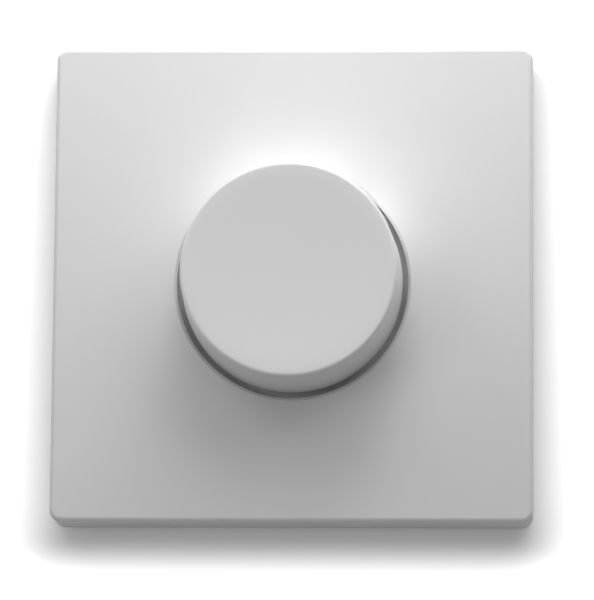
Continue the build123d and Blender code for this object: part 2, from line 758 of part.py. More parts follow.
# Rivet through the triac, the pad and the support plate
with BuildPart() as triac_rivet:
    posts([(triac_x, rivet_z)], rivet_radius, tab_rear, plate_front)
    posts([(triac_x, rivet_z)], rivet_head_radius, tab_rear - rivet_head, tab_rear)
    posts([(triac_x, rivet_z)], rivet_head_radius, plate_front, plate_front + rivet_head)
    chamfer(triac_rivet.edges().filter_by(GeomType.CIRCLE).group_by(Axis.Y)[0], rivet_head / 2)
triac_rivet.part.label = "triac_rivet"
export_step(triac_rivet.part, "parts/triac_rivet.step")

# Iron powder ring of the choke
core_rear = board_front + winding_thickness
core_front = core_rear + core_height
with BuildPart() as choke_core:
    with BuildSketch(level(core_rear)):
        with Locations((0, choke_z)):
            Circle(core_outer_radius)
            Circle(core_inner_radius, mode=Mode.SUBTRACT)
    extrude(amount=core_height)
choke_core.part.label = "choke_core"
export_step(choke_core.part, "parts/choke_core.step")

# Winding round the ring, grooved between its turns and open where it starts and ends
winding_front = core_front + winding_thickness
winding_outer_radius = core_outer_radius + winding_thickness
winding_inner_radius = core_inner_radius - winding_thickness
gap_reach = 2 * winding_outer_radius
gap_half_width = gap_reach * sin(radians(winding_gap_angle / 2))
gap_depth = gap_reach * cos(radians(winding_gap_angle / 2))
turn_step = (360 - winding_gap_angle) / winding_turns
first_turn = 90 + winding_gap_angle / 2 + turn_step
groove_range = 360 - winding_gap_angle - 2 * turn_step
with BuildPart() as choke_winding:
    with BuildSketch(level(board_front)):
        with Locations((0, choke_z)):
            Circle(winding_outer_radius)
            Circle(winding_inner_radius, mode=Mode.SUBTRACT)
    extrude(amount=winding_front - board_front)
    with BuildSketch(level(core_rear)):
        with Locations((0, choke_z)):
            Circle(core_outer_radius)
            Circle(core_inner_radius, mode=Mode.SUBTRACT)
    extrude(amount=core_height, mode=Mode.SUBTRACT)
    with BuildSketch(level(board_front)):
        with BuildLine():
            Polyline(
                (0, choke_z),
                (gap_half_width, choke_z + gap_depth),
                (-gap_half_width, choke_z + gap_depth),
                close=True,
            )
        make_face()
    extrude(amount=winding_front - board_front, mode=Mode.SUBTRACT)
    with BuildSketch(level(winding_front - winding_groove)):
        with Locations((0, choke_z)):
            grooves = (winding_turns - 1, first_turn, groove_range)
            with PolarLocations(winding_inner_radius, *grooves, endpoint=True):
                Rectangle(2 * core_outer_radius, winding_groove, align=(Align.MIN, Align.CENTER))
    extrude(amount=winding_groove, mode=Mode.SUBTRACT)
    blocks(choke_leads, lead_width, lead_width, lead_end, board_front)
choke_winding.part.label = "choke_winding"
export_step(choke_winding.part, "parts/choke_winding.step")

# Film capacitor
with BuildPart() as film_capacitor:
    blocks([(film_x, 0)], film_width, film_tall, board_front, board_front + film_height)
    fillet(film_capacitor.edges().filter_by(Axis.Y), film_edge)
    blocks(film_leads, lead_width, lead_width, lead_end, board_front)
film_capacitor.part.label = "film_capacitor"
export_step(film_capacitor.part, "parts/film_capacitor.step")

# Two small capacitors that set the timing
with BuildPart() as timing_capacitors:
    blocks(timing_middles, timing_width, timing_thickness, board_front, board_front + timing_height)
    blocks(timing_leads, lead_width, lead_width, lead_end, board_front)
timing_capacitors.part.label = "timing_capacitors"
export_step(timing_capacitors.part, "parts/timing_capacitors.step")


def axial_parts(rows, radius, length):
    """Round parts that lie along X on the board, with both leads bent back through it."""
    height = board_front + radius
    side_plane = Plane.YZ.offset(resistor_x)
    with BuildSketch(side_plane) as ends:
        with Locations(*[(-height, z) for z in rows]):
            Circle(radius)
    extrude(ends.sketch, amount=length / 2, both=True)
    with BuildSketch(side_plane) as wires:
        with Locations(*[(-height, z) for z in rows]):
            Rectangle(lead_width, lead_width)
    extrude(wires.sketch, amount=(resistor_pitch + lead_width) / 2, both=True)
    feet = [(resistor_x + side * resistor_pitch / 2, z) for z in rows for side in (-1, 1)]
    blocks(feet, lead_width, lead_width, lead_end, height)


# Resistors
with BuildPart() as resistors:
    axial_parts(resistor_rows, resistor_radius, resistor_length)
resistors.part.label = "resistors"
export_step(resistors.part, "parts/resistors.step")

# Diac
with BuildPart() as diac:
    axial_parts([diac_z], diac_radius, diac_length)
diac.part.label = "diac"
export_step(diac.part, "parts/diac.step")

# Glass fuse with two metal caps
fuse_y = -(board_front + fuse_lift + fuse_radius)
with BuildPart() as fuse:
    with BuildSketch(Plane.YZ):
        with Locations((fuse_y, fuse_z)):
            Circle(fuse_radius - fuse_glass_step)
    extrude(amount=fuse_length / 2, both=True)
    for cap_middle in (-fuse_clip_x, fuse_clip_x):
        with BuildSketch(Plane.YZ.offset(cap_middle)):
            with Locations((fuse_y, fuse_z)):
                Circle(fuse_radius)
        extrude(amount=fuse_cap_length / 2, both=True)
fuse.part.label = "fuse"
export_step(fuse.part, "parts/fuse.step")

# Spring clips that hold the fuse
with BuildPart() as fuse_clips:
    for clip_middle in (-fuse_clip_x, fuse_clip_x):
        with BuildSketch(Plane.YZ.offset(clip_middle)):
            with Locations((fuse_y, fuse_z)):
                Circle(fuse_radius + fuse_clip_sheet)
            with Locations((fuse_y + fuse_radius, fuse_z)):
                Rectangle(fuse_lift, fuse_radius, align=(Align.MIN, Align.CENTER))
            with Locations((fuse_y, fuse_z)):
                Circle(fuse_radius, mode=Mode.SUBTRACT)
            with Locations((fuse_y - fuse_clip_mouth, fuse_z)):
                mouth = 4 * fuse_radius
                Rectangle(mouth, mouth, align=(Align.MAX, Align.CENTER), mode=Mode.SUBTRACT)
        extrude(amount=fuse_clip_width / 2, both=True)
    blocks(fuse_leads, lead_width, lead_width, lead_end, board_front)
fuse_clips.part.label = "fuse_clips"
export_step(fuse_clips.part, "parts/fuse_clips.step")

# Trimmer that sets the lowest brightness
trimmer_place = [(trimmer_x, trimmer_z)]
trimmer_front = board_front + trimmer_height
rotor_rear = board_front + trimmer_floor
with BuildPart() as trimmer_body:
    posts(trimmer_place, trimmer_radius, board_front, trimmer_front)
    posts(trimmer_place, trimmer_rotor_radius + turn_gap, rotor_rear, trimmer_front, Mode.SUBTRACT)
    blocks(trimmer_leads, lead_width, lead_width, lead_end, board_front)
trimmer_body.part.label = "trimmer_body"
export_step(trimmer_body.part, "parts/trimmer_body.step")

# Its turning spindle, reached by a screwdriver through the support plate
with BuildPart() as trimmer_rotor:
    slot_foot = plate_front - 2 * trimmer_slot
    posts(trimmer_place, trimmer_rotor_radius, rotor_rear + turn_gap, plate_front)
    blocks(trimmer_place, 2 * trimmer_rotor_radius, trimmer_slot, slot_foot, plate_front, Mode.SUBTRACT)
    blocks(trimmer_place, trimmer_slot, 2 * trimmer_rotor_radius, slot_foot, plate_front, Mode.SUBTRACT)
trimmer_rotor.part.label = "trimmer_rotor"
export_step(trimmer_rotor.part, "parts/trimmer_rotor.step")

# Housing, a moulded cup with a deeper tower for the terminals and ears for the claws
tower_tall = tower_head_z - tower_foot_z
tower_z = (tower_head_z + tower_foot_z) / 2
wire_places = [(x, wire_z) for x in pole_xs]
terminal_y = housing_depth + driver_hole_gap + driver_hole_radius
ear_inner = claw_width / 2 + claw_ear_gap
ear_outer_x = claw_pivot_x + claw_eye_radius
with BuildPart() as housing:
    with BuildSketch(level(-housing_depth)):
        Circle(housing_radius)
        Rectangle(housing_width, housing_tall, mode=Mode.INTERSECT)
    extrude(amount=housing_depth)
    chamfer(housing.faces().sort_by(Axis.Y)[-1].edges(), housing_edge)
    blocks([(0, tower_z)], tower_width, tower_tall, -tower_depth, -housing_depth + housing_edge)
    chamfer(housing.faces().sort_by(Axis.Y)[-1].edges(), housing_edge / 2)
    with BuildSketch(level(housing_floor)):
        Circle(housing_radius - housing_wall)
        Rectangle(cavity_width, cavity_tall, mode=Mode.INTERSECT)
    extrude(amount=-housing_floor, mode=Mode.SUBTRACT)
    posts(housing_screw_places, housing_boss_radius, housing_floor, 0)
    posts(housing_screw_places[:2], housing_boss_radius + board_step, housing_floor, board_rear)
    tower_cavity_width = tower_width - 2 * housing_wall
    tower_cavity_tall = tower_tall - 2 * housing_wall
    blocks(
        [(0, tower_z)], tower_cavity_width, tower_cavity_tall, tower_floor, board_rear, Mode.SUBTRACT
    )
    posts(housing_screw_places, housing_screw_radius, -housing_screw_length - seat_gap, 0, Mode.SUBTRACT)
    blocks(wire_places, wire_hole_width, wire_hole_tall, -tower_depth, tower_floor, Mode.SUBTRACT)
    with BuildSketch(Plane.XY.offset(tower_foot_z)):
        with Locations(*[(x, terminal_y) for x in pole_xs]):
            Circle(driver_hole_radius)
    extrude(amount=housing_wall, mode=Mode.SUBTRACT)
    for side in (-1, 1):
        for ear_foot in (ear_inner, -ear_inner - claw_ear_wall):
            with BuildSketch(Plane.XY.offset(ear_foot)):
                with Locations((side * (housing_width / 2 - housing_wall / 2), 0)):
                    ear_reach = ear_outer_x - housing_width / 2 + housing_wall / 2
                    ear_side = Align.MIN if side > 0 else Align.MAX
                    Rectangle(ear_reach, claw_ear_depth, align=(ear_side, Align.MIN))
                with Locations((side * claw_pivot_x, claw_pivot_y)):
                    Circle(claw_pin_radius, mode=Mode.SUBTRACT)
            extrude(amount=claw_ear_wall)
housing.part.label = "housing"
export_step(housing.part, "parts/housing.step")

# Screws that hold the support plate on the housing
with BuildPart() as housing_screws:
    slotted_screws(
        housing_screw_places,
        housing_screw_head_radius,
        housing_screw_head,
        housing_screw_radius,
        plate_front,
        housing_screw_length + support_thickness,
    )
housing_screws.part.label = "housing_screws"
export_step(housing_screws.part, "parts/housing_screws.step")

# Terminal block with one chamber for each wire
block_width = tower_width - 2 * housing_wall - 2 * block_margin
block_tall = block_head_z - block_foot_z
block_z = (block_head_z + block_foot_z) / 2
block_rear = tower_floor + block_margin
chamber_head_z = block_head_z - chamber_head_wall
chamber_tall = chamber_head_z - block_foot_z
chamber_z = (chamber_head_z + block_foot_z) / 2
block_front = board_rear - lead_over - seat_gap
chamber_front = block_front - block_skin
chamber_rear = block_rear + block_skin
chambers = [(x, chamber_z) for x in pole_xs]
lower_feet_z = block_foot_z + block_foot_radius
upper_feet_z = block_head_z - block_foot_radius
block_feet = [(side * block_lower_feet_x, lower_feet_z) for side in (-1, 1)]
block_feet += [(side * block_upper_feet_x, upper_feet_z) for side in (-1, 1)]
with BuildPart() as terminal_block:
    blocks([(0, block_z)], block_width, block_tall, block_rear, block_front)
    posts(block_feet, block_foot_radius, block_front, board_rear)
    blocks(chambers, chamber_width, chamber_tall, chamber_rear, chamber_front, Mode.SUBTRACT)
    blocks(wire_places, wire_hole_width, wire_hole_tall, block_rear, chamber_rear, Mode.SUBTRACT)
    tab_slot = tab_thickness + 2 * lead_gap
    blocks(tab_leads, tab_slot, tab_slot, chamber_front, block_front, Mode.SUBTRACT)
terminal_block.part.label = "terminal_block"
export_step(terminal_block.part, "parts/terminal_block.step")

# Clamping cages, each a bent steel loop that its screw draws up on the wire
cage_tall = cage_head_z - cage_foot_z
cage_z = (cage_head_z + cage_foot_z) / 2
window_z = cage_head_z - cage_wall - cage_window / 2
cage_rear = -terminal_y - cage_depth / 2
cage_front = cage_rear + cage_depth
with BuildPart() as terminal_cages:
    blocks([(x, cage_z) for x in pole_xs], cage_width, cage_tall, cage_rear, cage_front)
    windows = [(x, window_z) for x in pole_xs]
    blocks(windows, cage_width - 2 * cage_wall, cage_window, cage_rear, cage_front, Mode.SUBTRACT)
    with BuildSketch(Plane.XY.offset(cage_foot_z)):
        with Locations(*[(x, terminal_y) for x in pole_xs]):
            Circle(terminal_screw_radius + turn_gap)
    extrude(amount=cage_foot_wall, mode=Mode.SUBTRACT)
terminal_cages.part.label = "terminal_cages"
export_step(terminal_cages.part, "parts/terminal_cages.step")

# Contact tabs that run through the cages and end in pins in the circuit board
with BuildPart() as terminal_tabs:
    blocks(tab_leads, tab_width, tab_thickness, cage_rear, chamber_front)
    blocks(tab_leads, tab_thickness, tab_thickness, chamber_front, board_front + lead_over)
terminal_tabs.part.label = "terminal_tabs"
export_step(terminal_tabs.part, "parts/terminal_tabs.step")

# Terminal screws, driven from below through the side of the tower
screw_head_top = cage_foot_z - 2 * seat_gap
with BuildPart() as terminal_screws:
    with BuildSketch(Plane.XY.offset(screw_head_top - terminal_head)):
        with Locations(*[(x, terminal_y) for x in pole_xs]):
            Circle(terminal_head_radius)
    extrude(amount=terminal_head)
    with BuildSketch(Plane.XY.offset(screw_head_top)):
        with Locations(*[(x, terminal_y) for x in pole_xs]):
            Circle(terminal_screw_radius)
    extrude(amount=tab_foot_z - screw_head_top)
    with BuildSketch(Plane.XY.offset(screw_head_top - terminal_head)):
        with Locations(*[(x, terminal_y) for x in pole_xs]):
            Rectangle(2 * terminal_head_radius, driver_slot)
    extrude(amount=driver_slot_depth, mode=Mode.SUBTRACT)
terminal_screws.part.label = "terminal_screws"
export_step(terminal_screws.part, "parts/terminal_screws.step")

# Pins on which the claws swing
with BuildPart() as claw_pins:
    with BuildSketch(Plane.XY.offset(-ear_inner - claw_ear_wall)):
        with Locations((claw_pivot_x, claw_pivot_y), (-claw_pivot_x, claw_pivot_y)):
            Circle(claw_pin_radius)
    extrude(amount=2 * ear_inner + 2 * claw_ear_wall)
claw_pins.part.label = "claw_pins"
export_step(claw_pins.part, "parts/claw_pins.step")

# Claws, stamped steel bell cranks whose forked short arm is drawn up by the screw
claw_end_y = claw_pivot_y + claw_length
nut_front_y = claw_pivot_y + claw_sheet / 2 + seat_gap
nut_rear_y = nut_front_y + claw_nut_thickness
for side, hand in ((-1, "left"), (1, "right")):
    inner_x = side * (claw_pivot_x - claw_sheet / 2)
    outer_x = side * (claw_pivot_x + claw_sheet / 2)
    with BuildPart() as claw:
        with BuildSketch(Plane.XY.offset(-claw_width / 2)):
            with Locations((side * claw_pivot_x, claw_pivot_y)):
                Circle(claw_eye_radius)
            with BuildLine():
                Polyline(
                    (inner_x, claw_pivot_y),
                    (outer_x, claw_pivot_y),
                    (outer_x, claw_end_y - claw_tooth_length),
                    (outer_x + side * claw_tooth, claw_end_y),
                    (outer_x + side * (claw_tooth - claw_sheet), claw_end_y),
                    (inner_x, claw_end_y - claw_tooth_length + claw_sheet / 2),
                    close=True,
                )
            make_face()
        extrude(amount=claw_width)
        window_low = claw_pivot_y + claw_window_start
        with BuildSketch(Plane.XY.offset(-claw_window / 2)):
            with Locations((side * claw_pivot_x, window_low)):
                window_size = (4 * claw_sheet, 2 * claw_length)
                Rectangle(*window_size, align=(Align.CENTER, Align.MIN))
        extrude(amount=claw_window, mode=Mode.SUBTRACT)
        with BuildSketch(Plane.XY.offset(-claw_arm_width / 2)):
            with Locations((side * (claw_pivot_x + claw_arm_reach / 2), claw_pivot_y)):
                Rectangle(claw_arm_reach, claw_sheet)
        extrude(amount=claw_arm_width)
        fork_gap = 2 * claw_screw_radius + 2 * hole_gap
        with BuildSketch(Plane.XY.offset(-fork_gap / 2)):
            fork_x = side * (claw_pivot_x + claw_fork_start + claw_arm_reach / 2)
            with Locations((fork_x, claw_pivot_y)):
                Rectangle(claw_arm_reach, 2 * claw_sheet)
        extrude(amount=fork_gap, mode=Mode.SUBTRACT)
        with BuildSketch(Plane.XY.offset(-claw_width / 2)):
            with Locations((side * claw_pivot_x, claw_pivot_y)):
                Circle(claw_pin_radius + turn_gap)
        extrude(amount=claw_width, mode=Mode.SUBTRACT)
    claw.part.label = f"claw_{hand}"
    export_step(claw.part, f"parts/claw_{hand}.step")

    claw_screw_place = [(side * claw_screw_x, 0)]
    with BuildPart() as claw_screw:
        slotted_screws(
            claw_screw_place,
            claw_screw_head_radius,
            claw_screw_head,
            claw_screw_radius,
            plate_front,
            claw_screw_length,
        )
    claw_screw.part.label = f"claw_screw_{hand}"
    export_step(claw_screw.part, f"parts/claw_screw_{hand}.step")

    with BuildPart() as claw_nut:
        with BuildSketch(Plane.XY.offset(-claw_nut_tall / 2)):
            nut_low_x = side * claw_screw_x - claw_nut_width / 2
            with Locations((nut_low_x, nut_front_y)):
                Rectangle(claw_nut_width, claw_nut_thickness, align=(Align.MIN, Align.MIN))
            with Locations((side * claw_screw_x, nut_front_y + claw_nut_crown)):
                Circle(claw_nut_crown, mode=Mode.INTERSECT)
        extrude(amount=claw_nut_tall)
        posts(claw_screw_place, claw_screw_radius + turn_gap, -nut_rear_y, -nut_front_y, Mode.SUBTRACT)
    claw_nut.part.label = f"claw_nut_{hand}"
    export_step(claw_nut.part, f"parts/claw_nut_{hand}.step")
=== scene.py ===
import math

import bmesh
import bpy
from mathutils import Matrix, Quaternion, Vector


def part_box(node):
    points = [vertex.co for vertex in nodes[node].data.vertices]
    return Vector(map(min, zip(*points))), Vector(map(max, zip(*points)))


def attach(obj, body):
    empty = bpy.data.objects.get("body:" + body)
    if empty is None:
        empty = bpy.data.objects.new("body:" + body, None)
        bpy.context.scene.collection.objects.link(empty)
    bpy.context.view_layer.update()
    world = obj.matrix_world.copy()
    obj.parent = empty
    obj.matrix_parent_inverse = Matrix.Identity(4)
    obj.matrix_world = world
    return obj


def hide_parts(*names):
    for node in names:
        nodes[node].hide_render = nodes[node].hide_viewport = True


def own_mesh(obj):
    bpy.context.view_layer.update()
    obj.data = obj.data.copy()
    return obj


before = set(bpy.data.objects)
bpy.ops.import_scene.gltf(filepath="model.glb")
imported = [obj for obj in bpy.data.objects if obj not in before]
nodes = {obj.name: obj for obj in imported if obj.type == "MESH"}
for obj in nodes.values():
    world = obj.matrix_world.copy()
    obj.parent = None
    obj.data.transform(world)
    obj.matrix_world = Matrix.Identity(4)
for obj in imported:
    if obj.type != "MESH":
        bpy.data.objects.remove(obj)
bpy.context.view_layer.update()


# Camera: a long lens below the switch and a little to its right, looking up at it.
# It turns slightly about its own line of sight, as a camera held by hand does.
plate_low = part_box("cover_plate")[0]
camera_distance, focal_length, sensor_width = 0.700, 252.4, 36.0
camera_azimuth = math.radians(2.95)
camera_elevation = math.radians(-9.5)
camera_roll = math.radians(0.48)
aim_right, aim_down = 0.00078, 0.00285
plate_middle = Vector((0.0, plate_low.y, 0.0))
towards_camera = Vector((
    math.sin(camera_azimuth) * math.cos(camera_elevation),
    -math.cos(camera_azimuth) * math.cos(camera_elevation),
    math.sin(camera_elevation),
))
image_right = Vector((math.cos(camera_azimuth), math.sin(camera_azimuth), 0.0))
image_up = towards_camera.cross(image_right)
camera = bpy.data.objects.new("camera", bpy.data.cameras.new("camera"))
camera.data.lens = focal_length
camera.data.sensor_width = sensor_width
camera.data.clip_start, camera.data.clip_end = 0.05, 10.0
camera.location = plate_middle + towards_camera * camera_distance
aim_point = plate_middle + image_right * aim_right - image_up * aim_down
camera.rotation_mode = "QUATERNION"
line_of_sight = (aim_point - camera.location).to_track_quat("-Z", "Y")
camera.rotation_quaternion = line_of_sight @ Quaternion((0.0, 0.0, 1.0), camera_roll)
bpy.context.scene.collection.objects.link(camera)
bpy.context.scene.camera = camera
bpy.context.scene.view_settings.view_transform = "Standard"


# Light: soft round lamps of a small studio, most of them above the switch, and pale air all round.
# Two more stand behind the wall, which lets light through from there, and show the insert when it is
# seen from the back.
def add_node(tree, kind, inputs=None, **settings):
    """Adds a shader node to a tree, with its settings and the values of its inputs."""
    made = tree.nodes.new(f"ShaderNode{kind}")
    for setting, value in settings.items():
        setattr(made, setting, value)
    for socket, value in (inputs or {}).items():
        made.inputs[socket].default_value = value
    return made


def join(tree, *wires):
    """Links nodes, where each wire names a node, its output, the next node and that one's input."""
    for giver, output, taker, socket in wires:
        tree.links.new(giver.outputs[output], taker.inputs[socket])


def light_up(name, kind, place, way, power):
    """A light that shines from a place along a direction, and that the camera doesn't see."""
    light = bpy.data.lights.new(name, kind)
    light.energy = power
    shown = bpy.data.objects.new(name, light)
    shown.location = place
    shown.rotation_mode = "QUATERNION"
    shown.rotation_quaternion = way.to_track_quat("-Z", "Y")
    shown.visible_camera = False
    bpy.context.scene.collection.objects.link(shown)
    return light


# Each lamp has its place, its width in metres and its power in watts, and faces the middle of the plate.
lamps = (
    ("skimming_lamp", (0.077, -0.050, 0.287), 0.15, 0.597),
    ("near_lamp", (0.0, -0.111, 0.123), 0.08, 0.068),
    ("left_lamp", (-0.199, -0.111, 0.199), 0.15, 0.142),
    ("right_lamp", (0.163, -0.201, 0.163), 0.15, 0.125),
    ("front_lamp", (-0.033, -0.280, 0.123), 0.15, 0.058),
    ("side_lamp", (-0.192, -0.238, -0.017), 0.10, 0.066),
    ("rear_lamp", (-0.45, 0.75, 0.55), 1.6, 3.6),
    ("rear_fill", (0.6, 0.6, -0.1), 1.2, 2.2),
)
for name, place, width, power in lamps:
    lamp = light_up(name, "AREA", place, plate_middle - Vector(place), power)
    lamp.shape, lamp.size = "DISK", width

# Narrow snoots shine down past the plate on the foot of the knob's upper side, which throws their light
# back on the plate and makes the bright patch there. They are stronger on the right.
snoot_powers = (1.9, 3.8, 6.6, 7.0, 6.2)
snoot_spacing, snoot_height, snoot_reach, snoot_distance = 0.007, 0.0128, 0.0182, 0.28
snoot_tilt, snoot_beam, snoot_blend, snoot_bulb = math.radians(15.0), math.radians(2.1), 0.7, 0.003
snoot_way = Vector((-math.sin(snoot_tilt), 0.0, -math.cos(snoot_tilt)))
for n, power in enumerate(snoot_powers):
    across = snoot_spacing * (n - (len(snoot_powers) - 1) / 2)
    target = Vector((across, -snoot_height, math.sqrt(snoot_reach**2 - across**2)))
    snoot = light_up(f"snoot_{n}", "SPOT", target - snoot_way * snoot_distance, snoot_way, power)
    snoot.spot_size, snoot.spot_blend, snoot.shadow_soft_size = snoot_beam, snoot_blend, snoot_bulb

# The air lights the switch weakly, but the camera sees it bright.
white, air_strength, air_seen_strength = (1.0, 1.0, 1.0, 1.0), 0.252, 0.8
air = bpy.data.worlds.new("pale_air")
air.use_nodes = True
bpy.context.scene.world = air
air_tree = air.node_tree
air_tree.nodes.clear()
air_light = add_node(air_tree, "Background", {"Color": white, "Strength": air_strength})
air_seen = add_node(air_tree, "Background", {"Color": white, "Strength": air_seen_strength})
air_ray = add_node(air_tree, "LightPath")
air_mix = add_node(air_tree, "MixShader")
air_out = add_node(air_tree, "OutputWorld")
join(
    air_tree,
    (air_ray, "Is Camera Ray", air_mix, 0),
    (air_light, 0, air_mix, 1),
    (air_seen, 0, air_mix, 2),
    (air_mix, 0, air_out, 0),
)


# Wall and floor: one pale sheet that curves from the wall into the floor, seen from the room alone.
# It is open behind the cover plate, where the insert goes in. A painted glow, which only the camera sees,
# burns it out to white a few millimetres from the plate. The soft shadow round the plate is partly cast by
# the lamps and partly painted, where the glow stays weak.
wall_place, opening = 0.0002, 0.0388
wall_half_width, wall_top, floor_level, floor_reach, bend = 2.4, 1.6, -0.7, 2.6, 0.25
bend_steps = 16
# Sizes of the painted soft shadow round the plate, with the painted glow at its edge and far from it.
shadow_middle, shadow_reach, shadow_fade = (0.0, 0.0, -0.0026), 0.0388, 0.0090
shadow_side_reach, shadow_stretch, shadow_glow, burn_out = 0.0360, 0.50, 0.075, 0.95
profile = [(wall_place, wall_top), (wall_place, opening), (wall_place, -opening)]
for step in range(bend_steps + 1):
    angle = math.pi / 2 * step / bend_steps
    profile.append((
        wall_place - bend + bend * math.cos(angle),
        floor_level + bend - bend * math.sin(angle),
    ))
profile.append((-floor_reach, floor_level))
sheet = bmesh.new()
lines_across = (-wall_half_width, -opening, opening, wall_half_width)
edges = [[sheet.verts.new((x, y, z)) for y, z in profile] for x in lines_across]
for m, (left, right) in enumerate(zip(edges, edges[1:])):
    for n in range(len(profile) - 1):
        if (m, n) != (1, 1):
            sheet.faces.new((left[n], left[n + 1], right[n + 1], right[n]))
wall_mesh = bpy.data.meshes.new("wall")
sheet.to_mesh(wall_mesh)
sheet.free()
wall_mesh.shade_smooth()
wall = bpy.data.objects.new("wall", wall_mesh)
bpy.context.scene.collection.objects.link(wall)
wall_paint = bpy.data.materials.new("wall_paint")
wall_paint.use_nodes = True
wall_mesh.materials.append(wall_paint)
tree = wall_paint.node_tree
tree.nodes.clear()

# Painted glow: it grows with the distance from a box round the plate, so the box stays a painted soft shadow
# over the plate's own cast shadow.
place = add_node(tree, "NewGeometry")
outside = place.outputs["Position"]
for operation, value in (
    ("SUBTRACT", shadow_middle), ("MULTIPLY", (shadow_stretch, 0.0, 1.0)), ("ABSOLUTE", None),
    ("SUBTRACT", (shadow_stretch * shadow_side_reach, 0.0, shadow_reach)), ("MAXIMUM", (0.0, 0.0, 0.0)),
    ("LENGTH", None),
):
    measured = add_node(tree, "VectorMath", {1: value} if value else None, operation=operation)
    tree.links.new(outside, measured.inputs[0])
    outside = measured.outputs["Value" if operation == "LENGTH" else "Vector"]
glow = add_node(
    tree, "MapRange",
    {"From Min": 0.0, "From Max": shadow_fade, "To Min": shadow_glow, "To Max": burn_out},
    interpolation_type="SMOOTHSTEP",
)
tree.links.new(outside, glow.inputs["Value"])
# Only the camera sees the painted glow, so it lights nothing.
seen = add_node(tree, "LightPath")
seen_glow = add_node(tree, "Math", operation="MULTIPLY")
paint = add_node(tree, "BsdfPrincipled", {
    "Base Color": (0.86, 0.86, 0.86, 1.0), "Roughness": 0.9, "Specular IOR Level": 0.1,
    "Emission Color": white,
})
clear = add_node(tree, "BsdfTransparent")
one_sided = add_node(tree, "MixShader")
wall_out = add_node(tree, "OutputMaterial")
join(
    tree,
    (glow, 0, seen_glow, 0),
    (seen, "Is Camera Ray", seen_glow, 1),
    (seen_glow, 0, paint, "Emission Strength"),
    (place, "Backfacing", one_sided, 0),
    (paint, 0, one_sided, 1),
    (clear, 0, one_sided, 2),
    (one_sided, 0, wall_out, "Surface"),
)


# Support plate: a rolled aluminium sheet, punched and left bare, that carries everything behind the cover.
# It cools the triac riveted to its rear, and is held on the wall box by two screws.
def shader_group(name, inputs, outputs):
    """An empty shader node group with its sockets, its input node and its output node."""
    made = bpy.data.node_groups.new(name, "ShaderNodeTree")
    for title, kind, value in inputs:
        socket = made.interface.new_socket(title, in_out="INPUT", socket_type=kind)
        socket.default_value = value
    for title, kind in outputs:
        made.interface.new_socket(title, in_out="OUTPUT", socket_type=kind)
    return made, made.nodes.new("NodeGroupInput"), made.nodes.new("NodeGroupOutput")


def material(name, metallic=0.0):
    """A new material with only a Principled shader and its output, and its tree."""
    made = bpy.data.materials.new(name)
    made.use_nodes = True
    tree = made.node_tree
    tree.nodes.clear()
    surface = add_node(tree, "BsdfPrincipled", {"Metallic": metallic})
    join(tree, (surface, 0, add_node(tree, "OutputMaterial"), "Surface"))
    return made, tree, surface


def lay(tree, surface, group, values, relief_height):
    """Places a shared skin in a material with its own values, and wires its colour, gloss and relief."""
    skin = add_node(tree, "Group", values, node_tree=group)
    relief = add_node(tree, "Bump", {"Distance": relief_height})
    join(
        tree,
        (skin, "Colour", surface, "Base Color"),
        (skin, "Roughness", surface, "Roughness"),
        (skin, "Height", relief, "Height"),
        (relief, 0, surface, "Normal"),
    )
    return skin


def dress(made, *names):
    """Puts one material on CAD nodes."""
    for name in names:
        nodes[name].data.materials.clear()
        nodes[name].data.materials.append(made)


# Shared effect: bare or plated metal, with lines drawn out by rolling or turning and a mottled tarnish.
metal_skin, group_in, group_out = shader_group(
    "metal_skin",
    [
        ("Bright", "NodeSocketColor", (0.8, 0.8, 0.8, 1.0)),
        ("Dull", "NodeSocketColor", (0.6, 0.6, 0.6, 1.0)),
        ("Line Stretch", "NodeSocketVector", (1.0, 1.0, 1.0)),
        ("Line Size", "NodeSocketFloat", 3000.0),
        ("Mottle Size", "NodeSocketFloat", 300.0),
        ("Smooth", "NodeSocketFloat", 0.25),
        ("Rough", "NodeSocketFloat", 0.45),
    ],
    [("Colour", "NodeSocketColor"), ("Roughness", "NodeSocketFloat"), ("Height", "NodeSocketFloat")],
)
spot = add_node(metal_skin, "TexCoord")
drawn = add_node(metal_skin, "VectorMath", operation="MULTIPLY")
lines = add_node(metal_skin, "TexNoise", {"Detail": 4.0})
mottle = add_node(metal_skin, "TexNoise", {"Detail": 5.0})
tarnish = add_node(metal_skin, "MapRange", {"From Min": 0.38, "From Max": 0.64})
tone = add_node(metal_skin, "Mix", data_type="RGBA")
blend = add_node(metal_skin, "Math", {1: 0.5}, operation="MULTIPLY_ADD")
halved = add_node(metal_skin, "Math", {1: 0.5}, operation="MULTIPLY")
gloss = add_node(metal_skin, "MapRange", {"From Min": 0.35, "From Max": 0.65})
join(
    metal_skin,
    (spot, "Object", drawn, 0),
    (group_in, "Line Stretch", drawn, 1),
    (drawn, 0, lines, "Vector"),
    (group_in, "Line Size", lines, "Scale"),
    (spot, "Object", mottle, "Vector"),
    (group_in, "Mottle Size", mottle, "Scale"),
    (mottle, "Fac", tarnish, "Value"),
    (tarnish, 0, tone, "Factor"),
    (group_in, "Bright", tone, "A"),
    (group_in, "Dull", tone, "B"),
    (mottle, "Fac", halved, 0),
    (lines, "Fac", blend, 0),
    (halved, 0, blend, 2),
    (blend, 0, gloss, "Value"),
    (group_in, "Smooth", gloss, "To Min"),
    (group_in, "Rough", gloss, "To Max"),
    (tone, "Result", group_out, "Colour"),
    (gloss, 0, group_out, "Roughness"),
    (lines, "Fac", group_out, "Height"),
)


def metal(name, bright, dull, smooth, rough, stretch=(1.0, 1.0, 1.0), line_size=3000.0, line_height=0.000003):
    """A metal with the shared skin, its lines drawn out along the axis with the smallest stretch."""
    made, tree, surface = material(name, metallic=1.0)
    values = {
        "Bright": (*bright, 1.0), "Dull": (*dull, 1.0), "Line Stretch": stretch, "Line Size": line_size,
        "Smooth": smooth, "Rough": rough,
    }
    lay(tree, surface, metal_skin, values, line_height)
    return made


